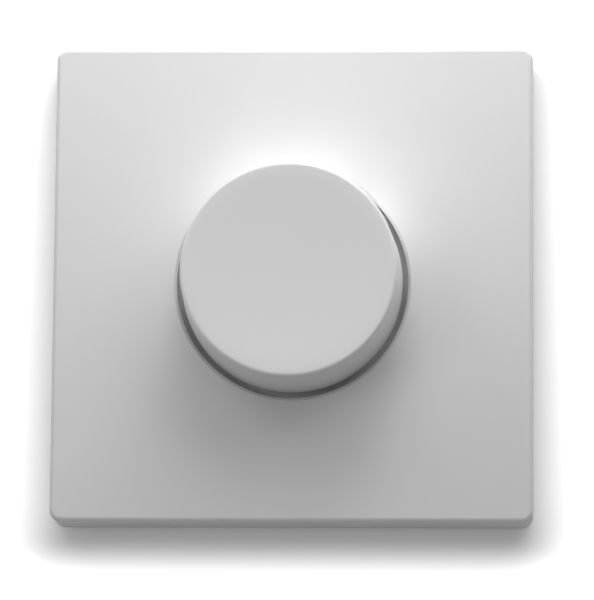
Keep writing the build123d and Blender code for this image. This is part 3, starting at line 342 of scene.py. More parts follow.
rolled_along = (0.025, 1.0, 1.0)
turned_round = (0.02, 1.0, 0.02)
rolled_aluminium = metal(
    "rolled_aluminium", (0.82, 0.83, 0.85), (0.68, 0.69, 0.71), 0.24, 0.42, rolled_along, 9000.0
)
dress(rolled_aluminium, "support_plate")


# Potentiometer: a crimped metal and phenolic case on a nickel-plated threaded bushing.
# A hexagon nut on a toothed washer clamps it to the support plate.
def bridge(shape, rings):
    """Joins each ring of corners to the next one with a band of faces."""
    for low, high in zip(rings, rings[1:]):
        for n in range(len(low)):
            after = (n + 1) % len(low)
            shape.faces.new((low[n], low[after], high[after], high[n]))


def corner(shape, place, radius, angle, height):
    """Adds a corner, given by its radius, angle and height round the local Z axis."""
    return shape.verts.new(place @ Vector((radius * math.cos(angle), radius * math.sin(angle), height)))


def sweep_profile(shape, profile, place, sides=48):
    """Turns a profile of radius and height pairs round the local Z axis and adds it to a shape."""
    rings = [
        [corner(shape, place, radius, math.tau * n / sides, height) for n in range(sides)]
        for radius, height in profile
    ]
    bridge(shape, rings)
    return rings


def cut_thread(shape, radius, pitch, low, high, place, sides=24):
    """Adds a screw thread round the local Z axis, run out to its root at both ends."""
    depth, per_pitch, run_out = 0.6 * pitch, 6, 0.8 * pitch
    rings = []
    count = max(2, round((high - low) / pitch * per_pitch))
    for step in range(count + 1):
        height = low + (high - low) * step / count
        room = min(height - low, high - height) / run_out
        ring = []
        for n in range(sides):
            turn = (height / pitch - n / sides) % 1.0
            crest = radius - depth * abs(2.0 * turn - 1.0)
            edge = min(crest, radius - depth + depth * room)
            ring.append(corner(shape, place, edge, math.tau * n / sides, height))
        rings.append(ring)
    bridge(shape, rings)
    return rings


def piece(name, shape, body, slot, finish, *replaced, sharp=35.0):
    """Turns a shape into a piece that rides on a body and may stand for CAD nodes."""
    bmesh.ops.recalc_face_normals(shape, faces=shape.faces)
    mesh = bpy.data.meshes.new(name)
    shape.to_mesh(mesh)
    shape.free()
    mesh.shade_smooth()
    mesh.set_sharp_from_angle(angle=math.radians(sharp))
    mesh.materials.append(finish)
    made = bpy.data.objects.new(name, mesh)
    bpy.context.scene.collection.objects.link(made)
    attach(made, body)
    if replaced:
        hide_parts(*replaced)
    return made


def towards_room(x, y, z):
    """A place whose local Z axis points away from the wall."""
    return Matrix(((1, 0, 0, x), (0, 0, -1, y), (0, 1, 0, z), (0, 0, 0, 1)))


nickel = metal("nickel_plate", (0.80, 0.78, 0.73), (0.68, 0.65, 0.60), 0.16, 0.32, turned_round)
spring_steel = metal("spring_steel", (0.42, 0.42, 0.43), (0.28, 0.29, 0.32), 0.26, 0.46, rolled_along)
pressed_steel = metal("zinc_plate", (0.76, 0.77, 0.79), (0.60, 0.62, 0.62), 0.28, 0.44)
turned_alloy = metal("turned_alloy", (0.80, 0.80, 0.81), (0.70, 0.70, 0.71), 0.2, 0.34, turned_round, 6000.0)
brass = metal("rolled_brass", (0.83, 0.62, 0.30), (0.62, 0.43, 0.18), 0.22, 0.42, rolled_along, 6000.0)
dress(nickel, "pot_nut")
dress(spring_steel, "pot_washer", "shaft_clip")
dress(pressed_steel, "pot_front_cover")
dress(turned_alloy, "shaft")
dress(brass, "wiper_brush", "pot_terminals")

bushing_low, bushing_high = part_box("pot_bushing")
bushing_bore, bushing_radius, bushing_collar, collar_height = 0.00205, 0.0050, 0.0062, 0.0010
bushing_pitch, bushing_chamfer, bushing_plain = 0.00075, 0.00035, 0.0012
bushing_lead_radius, bushing_tip_radius = 0.00470, 0.00451
bushing_length = bushing_high.y - bushing_low.y
bushing_place = towards_room(0.0, bushing_high.y, 0.0)
shape = bmesh.new()
sweep_profile(shape, [
    (bushing_lead_radius, bushing_length - bushing_chamfer),
    (bushing_tip_radius, bushing_length),
    (bushing_bore, bushing_length),
    (bushing_bore, 0.0),
    (bushing_collar, 0.0),
    (bushing_collar, collar_height),
    (bushing_radius, collar_height),
    (bushing_radius, collar_height + bushing_plain),
], bushing_place)
cut_thread(
    shape, bushing_radius, bushing_pitch, collar_height + bushing_plain, bushing_length - bushing_chamfer,
    bushing_place, sides=48,
)
piece("bushing", shape, "insert", "nickel", nickel, "pot_bushing")


# Potentiometer's inside: a black phenolic body with a printed carbon track in its floor.
# The wiper disc turns with the shaft's flat, and its sprung brass brush runs on the track.

# Shared effect: a moulded skin, with a slow drift of tone, a fine grain and its own gloss.
moulded_skin, group_in, group_out = shader_group(
    "moulded_skin",
    [
        ("Light", "NodeSocketColor", (0.8, 0.8, 0.8, 1.0)),
        ("Deep", "NodeSocketColor", (0.7, 0.7, 0.7, 1.0)),
        ("Drift Size", "NodeSocketFloat", 60.0),
        ("Grain Size", "NodeSocketFloat", 4000.0),
        ("Smooth", "NodeSocketFloat", 0.3),
        ("Rough", "NodeSocketFloat", 0.45),
    ],
    [("Colour", "NodeSocketColor"), ("Roughness", "NodeSocketFloat"), ("Height", "NodeSocketFloat")],
)
spot = add_node(moulded_skin, "TexCoord")
drift = add_node(moulded_skin, "TexNoise", {"Detail": 3.0})
grain = add_node(moulded_skin, "TexNoise", {"Detail": 2.0})
tone = add_node(moulded_skin, "Mix", data_type="RGBA")
gloss = add_node(moulded_skin, "MapRange")
join(
    moulded_skin,
    (spot, "Object", drift, "Vector"),
    (spot, "Object", grain, "Vector"),
    (group_in, "Drift Size", drift, "Scale"),
    (group_in, "Grain Size", grain, "Scale"),
    (drift, "Fac", tone, "Factor"),
    (group_in, "Light", tone, "A"),
    (group_in, "Deep", tone, "B"),
    (drift, "Fac", gloss, "Value"),
    (group_in, "Smooth", gloss, "To Min"),
    (group_in, "Rough", gloss, "To Max"),
    (tone, "Result", group_out, "Colour"),
    (gloss, 0, group_out, "Roughness"),
    (grain, "Fac", group_out, "Height"),
)


def moulded(name, light, deep, smooth, rough, grain_height=0.000004, grain_size=4000.0):
    """A moulded plastic with the shared skin."""
    made, tree, surface = material(name)
    values = {
        "Light": (*light, 1.0), "Deep": (*deep, 1.0), "Grain Size": grain_size,
        "Smooth": smooth, "Rough": rough,
    }
    lay(tree, surface, moulded_skin, values, grain_height)
    return made


phenolic = moulded("phenolic", (0.030, 0.028, 0.027), (0.052, 0.048, 0.045), 0.34, 0.55, 0.000006)
wiper_acetal = moulded("wiper_acetal", (0.62, 0.60, 0.55), (0.55, 0.53, 0.48), 0.3, 0.42)
carbon_ink = moulded("carbon_ink", (0.018, 0.018, 0.019), (0.045, 0.045, 0.047), 0.45, 0.75, 0.00001, 9000.0)
dress(phenolic, "pot_body", "switch_body")
dress(wiper_acetal, "wiper")
dress(carbon_ink, "resistive_track")


# Push switch: a phenolic box behind the potentiometer whose slider the end of the shaft pushes.
# A brass bridge on the slider meets two silver contacts, and a round-wire spring pushes it back.
def wire(shape, points, radius, sides=8, place=Matrix.Identity(4)):
    """Adds a round wire that follows a line of points, with closed ends."""
    points = [place @ Vector(point) for point in points]
    across = None
    rings = []
    for n, point in enumerate(points):
        along = (points[min(n + 1, len(points) - 1)] - points[max(n - 1, 0)]).normalized()
        if across is None:
            across = along.orthogonal().normalized()
        else:
            across = (across - along * across.dot(along)).normalized()
        other = along.cross(across)
        rings.append([
            shape.verts.new(point + (across * math.cos(a) + other * math.sin(a)) * radius)
            for a in (math.tau * k / sides for k in range(sides))
        ])
    bridge(shape, rings)
    shape.faces.new(rings[0])
    shape.faces.new(rings[-1])


slider_acetal = moulded("slider_acetal", (0.80, 0.79, 0.75), (0.74, 0.73, 0.69), 0.3, 0.4)
silver = metal("contact_silver", (0.86, 0.85, 0.82), (0.66, 0.64, 0.60), 0.25, 0.45)
dress(slider_acetal, "switch_slider")
dress(brass, "contact_bridge")
dress(silver, "switch_contacts")

spring_low, spring_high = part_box("return_spring")
spring_wire, spring_coils, spring_closed, spring_steps = 0.0002, 4.5, 0.75, 24
spring_radius = spring_high.x - 2 * spring_wire
spring_rear = spring_high.y - spring_wire
spring_height = spring_high.y - spring_low.y - 2 * spring_wire
closed_rise = 2 * spring_wire * spring_closed
open_coils = spring_coils - 2 * spring_closed
points = []
for step in range(round(spring_coils * spring_steps) + 1):
    coil = step / spring_steps
    open_part = min(max(coil - spring_closed, 0.0), open_coils)
    closed_part = min(coil, spring_closed) + max(coil - spring_closed - open_coils, 0.0)
    rise = closed_rise * closed_part / spring_closed
    rise += (spring_height - 2 * closed_rise) * open_part / open_coils
    angle = math.tau * coil
    points.append((spring_radius * math.cos(angle), spring_rear - rise, spring_radius * math.sin(angle)))
shape = bmesh.new()
wire(shape, points, spring_wire)
return_coil = piece("return_coil", shape, "insert", "spring_steel", spring_steel, "return_spring", sharp=60.0)
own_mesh(return_coil)


# Circuit board: brown phenolic paper with wide copper tracks under green lacquer on its rear.
# It rests on steps of the housing's bosses, and every lead is soldered behind it.
board_finish, board_tree, board_surface = material("board_laminate")
board_spot = add_node(board_tree, "TexCoord")
board_flat = add_node(board_tree, "VectorMath", {1: (1.0, 0.0, 1.0)}, operation="MULTIPLY")
track_edges = add_node(
    board_tree, "TexVoronoi", {"Scale": 230.0, "Randomness": 0.75}, feature="DISTANCE_TO_EDGE"
)
track_mask = add_node(board_tree, "MapRange", {"From Min": 0.05, "From Max": 0.075})
facing = add_node(board_tree, "SeparateXYZ")
rear_face = add_node(board_tree, "Math", {1: 0.5}, operation="GREATER_THAN")
tracks = add_node(board_tree, "Math", operation="MULTIPLY")
paper = add_node(board_tree, "TexNoise", {"Scale": 1400.0, "Detail": 5.0})
paper_tone = add_node(
    board_tree, "Mix", {"A": (0.36, 0.21, 0.09, 1.0), "B": (0.47, 0.29, 0.13, 1.0)}, data_type="RGBA"
)
lacquer_tone = add_node(board_tree, "Mix", {"B": (0.035, 0.20, 0.07, 1.0)}, data_type="RGBA")
board_gloss = add_node(board_tree, "MapRange", {"To Min": 0.55, "To Max": 0.26})
board_relief = add_node(board_tree, "Bump", {"Distance": 0.00003})
join(
    board_tree,
    (board_spot, "Object", board_flat, 0),
    (board_flat, 0, track_edges, "Vector"),
    (board_spot, "Object", paper, "Vector"),
    (board_spot, "Normal", facing, 0),
    (facing, "Y", rear_face, 0),
    (track_edges, "Distance", track_mask, "Value"),
    (track_mask, 0, tracks, 0),
    (rear_face, 0, tracks, 1),
    (paper, "Fac", paper_tone, "Factor"),
    (tracks, 0, lacquer_tone, "Factor"),
    (paper_tone, "Result", lacquer_tone, "A"),
    (lacquer_tone, "Result", board_surface, "Base Color"),
    (tracks, 0, board_gloss, "Value"),
    (board_gloss, 0, board_surface, "Roughness"),
    (tracks, 0, board_relief, "Height"),
    (board_relief, 0, board_surface, "Normal"),
)
dress(board_finish, "circuit_board")

# A solder joint stands round each lead that comes through the board, found from the ends of the leads.
# Its profile gives shares of its radius and height, and ends in a ring too small to be seen.
solder_radius, solder_height, lead_reach, lead_spread = 0.0010, 0.0007, 0.00005, 0.0015
solder_profile, solder_top = ((1.0, 0.0), (0.72, 0.28), (0.52, 0.62), (0.42, 1.0)), 1.02
closing_radius = 0.00001
board_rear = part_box("circuit_board")[1].y
solder_tin = metal("solder_tin", (0.80, 0.80, 0.80), (0.66, 0.66, 0.67), 0.18, 0.36)
soldered = [
    "pot_terminals", "switch_contacts", "triac", "choke_winding", "film_capacitor", "timing_capacitors",
    "resistors", "diac", "fuse_clips", "trimmer_body",
]
lead_ends = []
for name in soldered:
    lead_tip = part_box(name)[1].y
    for vertex in nodes[name].data.vertices:
        if vertex.co.y < lead_tip - lead_reach:
            continue
        near = [end for end in lead_ends if (end[0] - vertex.co).length < lead_spread]
        if near:
            near[0].append(vertex.co.copy())
        else:
            lead_ends.append([vertex.co.copy()])
shape = bmesh.new()
for corners in lead_ends:
    middle = sum(corners, Vector()) / len(corners)
    joint_place = Matrix.Translation((middle.x, board_rear, middle.z)) @ Matrix.Rotation(-math.pi / 2, 4, "X")
    joint_profile = [(solder_radius * wide, solder_height * tall) for wide, tall in solder_profile]
    joint_profile.append((closing_radius, solder_height * solder_top))
    sweep_profile(shape, joint_profile, joint_place, sides=12)
piece("solder_joints", shape, "insert", "nickel", solder_tin, sharp=60.0)


# Leaded parts: a coated body with tinned copper leads, pushed through the board and soldered.
# They stand in front of the board, and only their leads come out behind it.

# Shared effect: whatever lies outside a box round the bodies is tinned lead, and the body has its coat.
leaded_part, group_in, group_out = shader_group(
    "leaded_part",
    [
        ("Coat", "NodeSocketColor", (0.5, 0.4, 0.2, 1.0)),
        ("Deep Coat", "NodeSocketColor", (0.4, 0.3, 0.1, 1.0)),
        ("Body Middle", "NodeSocketVector", (0.0, 0.0, 0.0)),
        ("Body Half Size", "NodeSocketVector", (1.0, 1.0, 1.0)),
        ("Speckle Size", "NodeSocketFloat", 900.0),
        ("Coat Roughness", "NodeSocketFloat", 0.4),
    ],
    [
        ("Colour", "NodeSocketColor"), ("Roughness", "NodeSocketFloat"), ("Metal", "NodeSocketFloat"),
        ("Height", "NodeSocketFloat"),
    ],
)
spot = add_node(leaded_part, "TexCoord")
from_middle = add_node(leaded_part, "VectorMath", operation="SUBTRACT")
away = add_node(leaded_part, "VectorMath", operation="ABSOLUTE")
beyond = add_node(leaded_part, "VectorMath", operation="SUBTRACT")
parts = add_node(leaded_part, "SeparateXYZ")
wider = add_node(leaded_part, "Math", operation="MAXIMUM")
widest = add_node(leaded_part, "Math", operation="MAXIMUM")
is_lead = add_node(leaded_part, "Math", {1: 0.0}, operation="GREATER_THAN")
speckle = add_node(leaded_part, "TexNoise", {"Detail": 4.0})
coat = add_node(leaded_part, "Mix", data_type="RGBA")
tinned = add_node(leaded_part, "Mix", {"B": (0.72, 0.72, 0.71, 1.0)}, data_type="RGBA")
gloss = add_node(leaded_part, "Mix", {"B": 0.3})
join(
    leaded_part,
    (spot, "Object", from_middle, 0),
    (group_in, "Body Middle", from_middle, 1),
    (from_middle, 0, away, 0),
    (away, 0, beyond, 0),
    (group_in, "Body Half Size", beyond, 1),
    (beyond, 0, parts, 0),
    (parts, "X", wider, 0),
    (parts, "Y", wider, 1),
    (wider, 0, widest, 0),
    (parts, "Z", widest, 1),
    (widest, 0, is_lead, 0),
    (spot, "Object", speckle, "Vector"),
    (group_in, "Speckle Size", speckle, "Scale"),
    (speckle, "Fac", coat, "Factor"),
    (group_in, "Coat", coat, "A"),
    (group_in, "Deep Coat", coat, "B"),
    (is_lead, 0, tinned, "Factor"),
    (coat, "Result", tinned, "A"),
    (is_lead, 0, gloss, "Factor"),
    (group_in, "Coat Roughness", gloss, "A"),
    (tinned, "Result", group_out, "Colour"),
    (gloss, "Result", group_out, "Roughness"),
    (is_lead, 0, group_out, "Metal"),
    (speckle, "Fac", group_out, "Height"),
)


def leaded(name, node, coat, deep_coat, body_low, body_high, roughness=0.35, speckle=900.0, relief=0.000006):
    """A coated body with tinned leads, for a node whose body fills the space between two corners."""
    made, tree, surface = material(name)
    middle, half = (body_low + body_high) / 2, (body_high - body_low) / 2
    values = {
        "Coat": (*coat, 1.0), "Deep Coat": (*deep_coat, 1.0), "Body Middle": middle, "Body Half Size": half,
        "Speckle Size": speckle, "Coat Roughness": roughness,
    }
    skin = lay(tree, surface, leaded_part, values, relief)
    join(tree, (skin, "Metal", surface, "Metallic"))
    dress(made, node)
    return tree, skin


body_slack = Vector((0.00002, 0.00002, 0.00002))
board_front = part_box("circuit_board")[0].y


def above_board(node):
    """The corners of the part of a node that stands in front of the board."""
    low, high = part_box(node)
    return low - body_slack, Vector((high.x, board_front, high.z)) + body_slack


leaded("film_case", "film_capacitor", (0.62, 0.50, 0.04), (0.55, 0.43, 0.03), *above_board("film_capacitor"))
leaded(
    "timing_case", "timing_capacitors", (0.03, 0.12, 0.42), (0.02, 0.08, 0.32),
    *above_board("timing_capacitors"), 0.2,
)
leaded("trimmer_case", "trimmer_body", (0.05, 0.16, 0.45), (0.04, 0.13, 0.38), *above_board("trimmer_body"))

triac_low, triac_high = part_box("triac")
triac_foot, triac_body_tall = -0.0065, 0.0092
leaded(
    "triac_body", "triac", (0.022, 0.022, 0.023), (0.034, 0.034, 0.035),
    Vector((triac_low.x, triac_low.y, triac_foot)) - body_slack,
    Vector((triac_high.x, board_front, triac_foot + triac_body_tall)) + body_slack, 0.48, 2600.0, 0.00001,
)
diac_low, diac_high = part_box("diac")
diac_half = 0.0021
diac_middle = (diac_low.x + diac_high.x) / 2
leaded(
    "diac_glass", "diac", (0.30, 0.07, 0.03), (0.22, 0.05, 0.02),
    Vector((diac_middle - diac_half, diac_low.y, diac_low.z)) - body_slack,
    Vector((diac_middle + diac_half, board_front, diac_high.z)) + body_slack, 0.12,
)

# The resistors have four colour rings on a sand-coloured coat.
resistor_low, resistor_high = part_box("resistors")
resistor_half, ring_width, sand = 0.00315, 0.0006, (0.56, 0.42, 0.24)
resistor_middle = (resistor_low.x + resistor_high.x) / 2
resistor_tree, resistor_skin = leaded(
    "resistor_coat", "resistors", sand, (0.50, 0.36, 0.20),
    Vector((resistor_middle - resistor_half, resistor_low.y, resistor_low.z)) - body_slack,
    Vector((resistor_middle + resistor_half, board_front, resistor_high.z)) + body_slack, 0.34,
)
ring_colours = (
    (-0.0019, (0.30, 0.02, 0.01)), (-0.0007, (0.04, 0.02, 0.10)), (0.0005, (0.75, 0.25, 0.02)),
    (0.0019, (0.55, 0.40, 0.10)),
)
ring_spot = add_node(resistor_tree, "TexCoord")
ring_x = add_node(resistor_tree, "SeparateXYZ")
join(resistor_tree, (ring_spot, "Object", ring_x, 0))
painted = None
for ring_place, ring_colour in ring_colours:
    ring_sizes = {1: resistor_middle + ring_place, 2: ring_width / 2}
    ring_mask = add_node(resistor_tree, "Math", ring_sizes, operation="COMPARE")
    ring_paint = add_node(
        resistor_tree, "Mix", {"A": (*sand, 1.0), "B": (*ring_colour, 1.0)}, data_type="RGBA"
    )
    join(resistor_tree, (ring_x, "X", ring_mask, 0), (ring_mask, 0, ring_paint, "Factor"))
    if painted:
        join(resistor_tree, (painted, "Result", ring_paint, "A"))
    painted = ring_paint
join(resistor_tree, (painted, "Result", resistor_skin, "Coat"))


# Choke: an iron powder ring in yellow paint, wound with enamelled copper that ends in two leads.
# It limits the current steps of the triac, and stands on the board by its leads alone.
core_paint = moulded("core_paint", (0.70, 0.58, 0.12), (0.60, 0.48, 0.08), 0.35, 0.5, 0.00002, 2600.0)
dress(core_paint, "choke_core")
copper = metal("enamelled_copper", (0.72, 0.30, 0.13), (0.60, 0.22, 0.09), 0.16, 0.3)

core_low, core_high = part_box("choke_core")
core_centre = (core_low + core_high) / 2
core_outer, core_inner = (core_high.x - core_low.x) / 2, 0.0030
turn_wire, turn_count, turn_points, winding_gap = 0.00033, 20, 16, math.radians(60.0)
turn_reach = (core_outer - core_inner) / 2 + turn_wire
turn_middle = (core_outer + core_inner) / 2
turn_lift = (core_high.y - core_low.y) / 2 + turn_wire
squareness = 0.45
lead_place = 0.0030
lead_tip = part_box("choke_winding")[1].y


def rounded(value):
    """Bends a circle's coordinate towards a rounded square's."""
    return math.copysign(abs(value) ** squareness, value)


points = []
for step in range(turn_count * turn_points + 1):
    turn = step / turn_points
    angle = math.pi / 2 + winding_gap / 2 + (math.tau - winding_gap) * turn / turn_count
    swing = math.tau * turn + math.pi / 2
    radius = turn_middle + turn_reach * rounded(math.cos(swing))
    points.append((
        radius * math.cos(angle), core_centre.y + turn_lift * rounded(math.sin(swing)),
        core_centre.z + radius * math.sin(angle),
    ))
first_end = [(-lead_place, lead_tip, core_centre.z), (-lead_place, board_front, core_centre.z)]
last_end = [(lead_place, board_front, core_centre.z), (lead_place, lead_tip, core_centre.z)]
shape = bmesh.new()
wire(shape, first_end + points + last_end, turn_wire, sides=8)
piece("choke_turns", shape, "insert", "copper_wire", copper, "choke_winding", sharp=60.0)


# Fuse: a glass tube with nickel-plated caps and a fine wire inside, held in two brass spring clips.
# It lies along the lower edge of the board, where the tower of the housing leaves room for it.
glass, glass_tree, glass_surface = material("fuse_glass")
glass_surface.inputs["Base Color"].default_value = (0.97, 0.99, 0.98, 1.0)
glass_surface.inputs["Transmission Weight"].default_value = 1.0
glass_surface.inputs["IOR"].default_value = 1.5
glass_haze = add_node(glass_tree, "TexNoise", {"Scale": 600.0})
glass_smear = add_node(glass_tree, "MapRange", {"To Min": 0.02, "To Max": 0.12})
join(glass_tree, (glass_haze, "Fac", glass_smear, "Value"), (glass_smear, 0, glass_surface, "Roughness"))
dress(brass, "fuse_clips")

fuse_low, fuse_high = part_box("fuse")
fuse_radius = (fuse_high.z - fuse_low.z) / 2
fuse_half = (fuse_high.x - fuse_low.x) / 2
fuse_cap, fuse_cap_edge, fuse_cap_wall, fuse_wall = 0.0050, 0.0003, 0.00015, 0.0005
fuse_tube_radius = fuse_radius - fuse_cap_wall
fuse_middle = (fuse_low + fuse_high) / 2
fuse_place = Matrix.Translation(fuse_middle) @ Matrix.Rotation(math.pi / 2, 4, "Y")
shape = bmesh.new()
tube_end = fuse_half - fuse_cap / 2
sweep_profile(shape, [
    (fuse_tube_radius - fuse_wall, -tube_end), (fuse_tube_radius, -tube_end), (fuse_tube_radius, tube_end),
    (fuse_tube_radius - fuse_wall, tube_end), (fuse_tube_radius - fuse_wall, -tube_end),
], fuse_place)
piece("fuse_tube", shape, "insert", "fuse_glass", glass, "fuse")
shape = bmesh.new()
for way in (-1, 1):
    sweep_profile(shape, [
        (fuse_tube_radius, way * (fuse_half - fuse_cap)),
        (fuse_radius, way * (fuse_half - fuse_cap)),
        (fuse_radius, way * (fuse_half - fuse_cap_edge)),
        (fuse_radius - fuse_cap_edge, way * fuse_half),
        (closing_radius, way * fuse_half),
    ], fuse_place)
piece("fuse_caps", shape, "insert", "nickel", nickel, "fuse")
shape = bmesh.new()
fuse_wire_radius, fuse_wire_bow, fuse_wire_steps = 0.00008, 0.0004, 12
points = []
for step in range(fuse_wire_steps + 1):
    share = step / fuse_wire_steps
    bow = fuse_wire_bow * math.sin(math.pi * share)
    points.append((0.0, bow, tube_end * (2.0 * share - 1.0)))
wire(shape, points, fuse_wire_radius, sides=6, place=fuse_place)
piece("fuse_wire", shape, "insert", "copper_wire", copper, "fuse")


# Triac and trimmer: the triac's tab is riveted through a grey heat pad to the support plate.
# The trimmer's white spindle is reached by a screwdriver through a hole in that plate.
heat_pad = moulded("heat_pad", (0.42, 0.44, 0.46), (0.36, 0.38, 0.41), 0.6, 0.8, 0.00004, 3200.0)
trimmer_nylon = moulded("trimmer_nylon", (0.80, 0.78, 0.72), (0.74, 0.71, 0.64), 0.3, 0.4)
dress(heat_pad, "triac_pad")
dress(pressed_steel, "triac_rivet")
dress(trimmer_nylon, "trimmer_rotor")


# Housing: a cup moulded in dark grey glass-filled nylon, from a spark-eroded mould that leaves it matt.
# Four thread-forming screws hold the support plate on it, and its ears carry the claw pins.
def slotted_screw(shape, place, head_radius, head, bar_radius, length, pitch, slot, slot_depth):
    """Adds a cheese-head screw whose head sits on local zero, with its slot along local X."""
    edge, slot_flare, plain, tip_length = 0.12 * head, 0.3, 0.6 * pitch, 0.3 * pitch
    floor, arc_steps = head - slot_depth, 14
    sweep_profile(shape, [
        (bar_radius, 0.0), (head_radius - edge, 0.0), (head_radius, edge), (head_radius, floor),
        (closing_radius, floor),
    ], place)
    start = math.asin(slot / (2 * head_radius))
    for side in (-1, 1):
        outlines = []
        for inset, height in ((0.0, floor), (0.0, head - edge), (edge, head)):
            radius = head_radius - inset
            outline = []
            for n in range(arc_steps + 1):
                angle = start + (math.pi - 2 * start) * n / arc_steps
                across = max(radius * math.sin(angle), slot / 2 + slot_flare * inset)
                spot = Vector((radius * math.cos(angle), side * across, height))
                outline.append(shape.verts.new(place @ spot))
            outlines.append(outline)
        bridge(shape, outlines)
        shape.faces.new(outlines[-1])
    rings = cut_thread(shape, bar_radius, pitch, -length + tip_length, -plain, place)
    sweep_profile(shape, [(bar_radius, -plain), (bar_radius, 0.0)], place)
    tip = shape.verts.new(place @ Vector((0.0, 0.0, -length)))
    last = rings[0]
    for n in range(len(last)):
        shape.faces.new((last[n], tip, last[(n + 1) % len(last)]))


housing_nylon = moulded(
    "housing_nylon", (0.040, 0.041, 0.044), (0.090, 0.091, 0.095), 0.36, 0.66, 0.00006, 1800.0
)
dress(housing_nylon, "housing")

plate_screw_head_radius, plate_screw_head, plate_screw_radius = 0.0025, 0.0016, 0.0011
plate_screw_pitch, driver_slot, driver_slot_depth = 0.0008, 0.0008, 0.0008
screws_low, screws_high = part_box("housing_screws")
plate_screw_x = screws_high.x - plate_screw_head_radius
plate_screw_z = screws_high.z - plate_screw_head_radius
plate_screw_seat = screws_low.y + plate_screw_head
shape = bmesh.new()
for x in (-plate_screw_x, plate_screw_x):
    for z in (-plate_screw_z, plate_screw_z):
        slotted_screw(
            shape, towards_room(x, plate_screw_seat, z), plate_screw_head_radius, plate_screw_head,
            plate_screw_radius, screws_high.y - plate_screw_seat, plate_screw_pitch,
            driver_slot, driver_slot_depth,
        )
piece("plate_screws", shape, "insert", "zinc_steel", pressed_steel, "housing_screws")


# Terminals: an ivory nylon block with three chambers, each with a bent steel cage on its own screw.
# The screw draws the cage up and clamps the wire against a brass tab that is soldered to the board.
block_nylon = moulded("block_nylon", (0.66, 0.64, 0.58), (0.58, 0.56, 0.50), 0.4, 0.55, 0.00001)
dress(block_nylon, "terminal_block")
dress(pressed_steel, "terminal_cages")
dress(brass, "terminal_tabs")

terminal_head_radius, terminal_head, terminal_bar_radius = 0.0026, 0.0018, 0.0014
terminal_pitch, pole_pitch, pole_count = 0.0005, 0.0094, 3
terminal_low, terminal_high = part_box("terminal_screws")
terminal_middle = (terminal_low + terminal_high) / 2
terminal_seat = terminal_low.z + terminal_head
shape = bmesh.new()
for pole in range(pole_count):
    pole_x = terminal_middle.x + (pole - (pole_count - 1) / 2) * pole_pitch
    pole_seat = Matrix.Translation((pole_x, terminal_middle.y, terminal_seat))
    pole_place = pole_seat @ Matrix.Rotation(math.pi, 4, "X")
    slotted_screw(
        shape, pole_place, terminal_head_radius, terminal_head, terminal_bar_radius,
        terminal_high.z - terminal_seat, terminal_pitch, driver_slot, driver_slot_depth,
    )
piece("clamp_screws", shape, "insert", "zinc_steel", pressed_steel, "terminal_screws")


# Claws: stamped spring steel cranks that swing on pins in the housing's ears and bite into the wall box.
# A long screw through the support plate draws a crowned nut forward, which pushes the claw outwards.
claw_steel = metal("claw_steel", (0.56, 0.56, 0.57), (0.40, 0.40, 0.43), 0.26, 0.46, (1.0, 0.03, 1.0), 6000.0)
dress(claw_steel, "claw_left", "claw_right")
dress(pressed_steel, "claw_pins", "claw_nut_left", "claw_nut_right")

claw_screw_head, claw_screw_radius, claw_screw_pitch = 0.0020, 0.0015, 0.0005
for hand in ("left", "right"):
    screw_low, screw_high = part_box(f"claw_screw_{hand}")
    screw_middle = (screw_low + screw_high) / 2
    seat = screw_low.y + claw_screw_head
    shape = bmesh.new()
    slotted_screw(
        shape, towards_room(screw_middle.x, seat, screw_middle.z), (screw_high.x - screw_low.x) / 2,
        claw_screw_head, claw_screw_radius, screw_high.y - seat, claw_screw_pitch,
        driver_slot, driver_slot_depth,
    )
    piece(
        f"{hand}_claw_thread", shape, f"{hand}_screw", "zinc_steel", pressed_steel, f"claw_screw_{hand}"
    )


# Cover plate: one satin white moulding with a very fine grain and a round well for the knob.
# A flanged nut on the bushing holds it.
cover_white = moulded("cover_plastic", (0.800, 0.800, 0.800), (0.785, 0.785, 0.785), 0.34, 0.42)
dress(cover_white, "cover_plate")
dress(nickel, "cover_nut")


# Knob: a hollow cap of the same white plastic, with a dished face, a soft edge and a drafted side.
# Inside it has six ribs and a split boss, which a spring ring closes on the flat of the shaft.
def stand_up(shape, outline, low, high, place):
    """Adds a prism that stands on an outline, between two heights along the local Z axis."""
    rings = [[shape.verts.new(place @ Vector((x, y, height))) for x, y in outline] for height in (low, high)]
    bridge(shape, rings)
    for ring in rings:
        shape.faces.new(ring)


knob_low, knob_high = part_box("knob")
clip_low, clip_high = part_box("knob_clip")
knob_face, knob_foot = -knob_low.y, -knob_high.y
knob_face_radius, knob_foot_radius, knob_sides = 0.0178, 0.0184, 160
knob_round, knob_round_steps = 0.00055, 8
knob_dish, knob_dish_radius, knob_dish_steps = 0.0009, 0.0170, 8
knob_crown, knob_wall, knob_foot_edge, knob_hub = 0.0024, 0.0016, 0.0003, 0.0020
knob_ceiling = knob_face - knob_crown
draft = math.atan2(knob_foot_radius - knob_face_radius, knob_face - knob_foot)
round_radius = knob_face_radius + knob_round * (math.tan(draft) - 1.0 / math.cos(draft))
dish_ball = (knob_dish_radius**2 + knob_dish**2) / (2.0 * knob_dish)
profile = []
for step in range(1, knob_dish_steps + 1):
    radius = knob_dish_radius * step / knob_dish_steps
    profile.append((radius, knob_face - knob_dish + dish_ball - math.sqrt(dish_ball**2 - radius**2)))
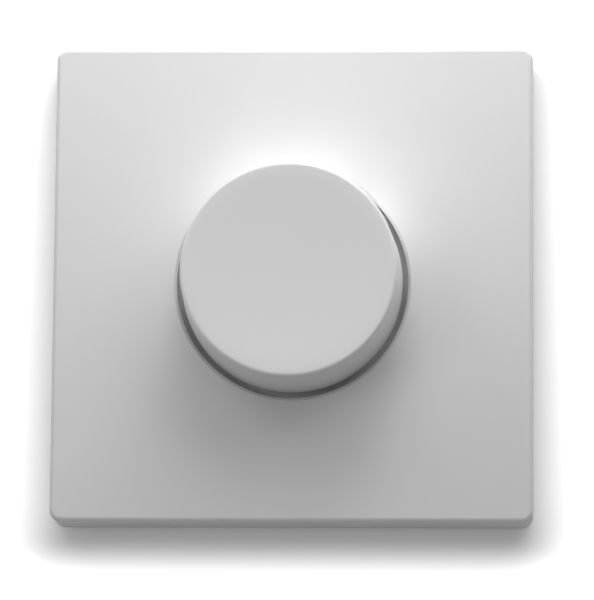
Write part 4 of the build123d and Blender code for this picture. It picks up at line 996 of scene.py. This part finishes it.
for step in range(knob_round_steps + 1):
    angle = math.pi / 2 + (draft - math.pi / 2) * step / knob_round_steps
    profile.append((
        round_radius + knob_round * math.cos(angle), knob_face - knob_round + knob_round * math.sin(angle),
    ))
profile += [
    (knob_foot_radius - knob_foot_edge * math.tan(draft), knob_foot + knob_foot_edge),
    (knob_foot_radius - knob_foot_edge, knob_foot),
    (knob_foot_radius - knob_wall, knob_foot),
    (knob_face_radius - knob_wall, knob_ceiling),
    (knob_hub, knob_ceiling),
]
knob_place = towards_room(0.0, 0.0, 0.0)
shape = bmesh.new()
rings = sweep_profile(shape, profile, knob_place, sides=knob_sides)
shape.faces.new(rings[0])
shape.faces.new(rings[-1])

boss_radius, bore_radius, bore_flat, boss_split = 0.0044, 0.0020, 0.0014, 0.0004
clip_room, boss_split_top, boss_arc_steps, sunk = 0.00025, 0.0156, 20, 0.0002
boss_foot = -clip_high.y - clip_room
for side in (-1, 1):
    outline = []
    for radius, way in ((boss_radius, 1), (bore_radius, -1)):
        start = math.asin(boss_split / radius)
        for n in range(boss_arc_steps + 1):
            share = n / boss_arc_steps if way > 0 else 1.0 - n / boss_arc_steps
            angle = start + (math.pi - 2.0 * start) * share
            across = radius * math.sin(angle)
            if radius == bore_radius and side > 0:
                across = min(across, bore_flat)
            outline.append((radius * math.cos(angle), side * across))
    stand_up(shape, outline, boss_foot, boss_split_top, knob_place)
sweep_profile(shape, [
    (bore_radius, boss_split_top), (boss_radius, boss_split_top), (boss_radius, knob_ceiling + sunk),
    (bore_radius, knob_ceiling + sunk), (bore_radius, boss_split_top),
], knob_place)
rib_count, rib_half, rib_start, rib_end, rib_room = 6, 0.0005, 0.0043, 0.0170, 0.0005
rib_foot = -clip_low.y + rib_room
for n in range(rib_count):
    turned = knob_place @ Matrix.Rotation(math.tau * n / rib_count, 4, "Z")
    rib_outline = [(rib_start, -rib_half), (rib_end, -rib_half), (rib_end, rib_half), (rib_start, rib_half)]
    stand_up(shape, rib_outline, rib_foot, knob_ceiling + sunk, turned)
piece("knob_cap", shape, "spindle", "cover_plastic", cover_white, "knob")
dress(spring_steel, "knob_clip")
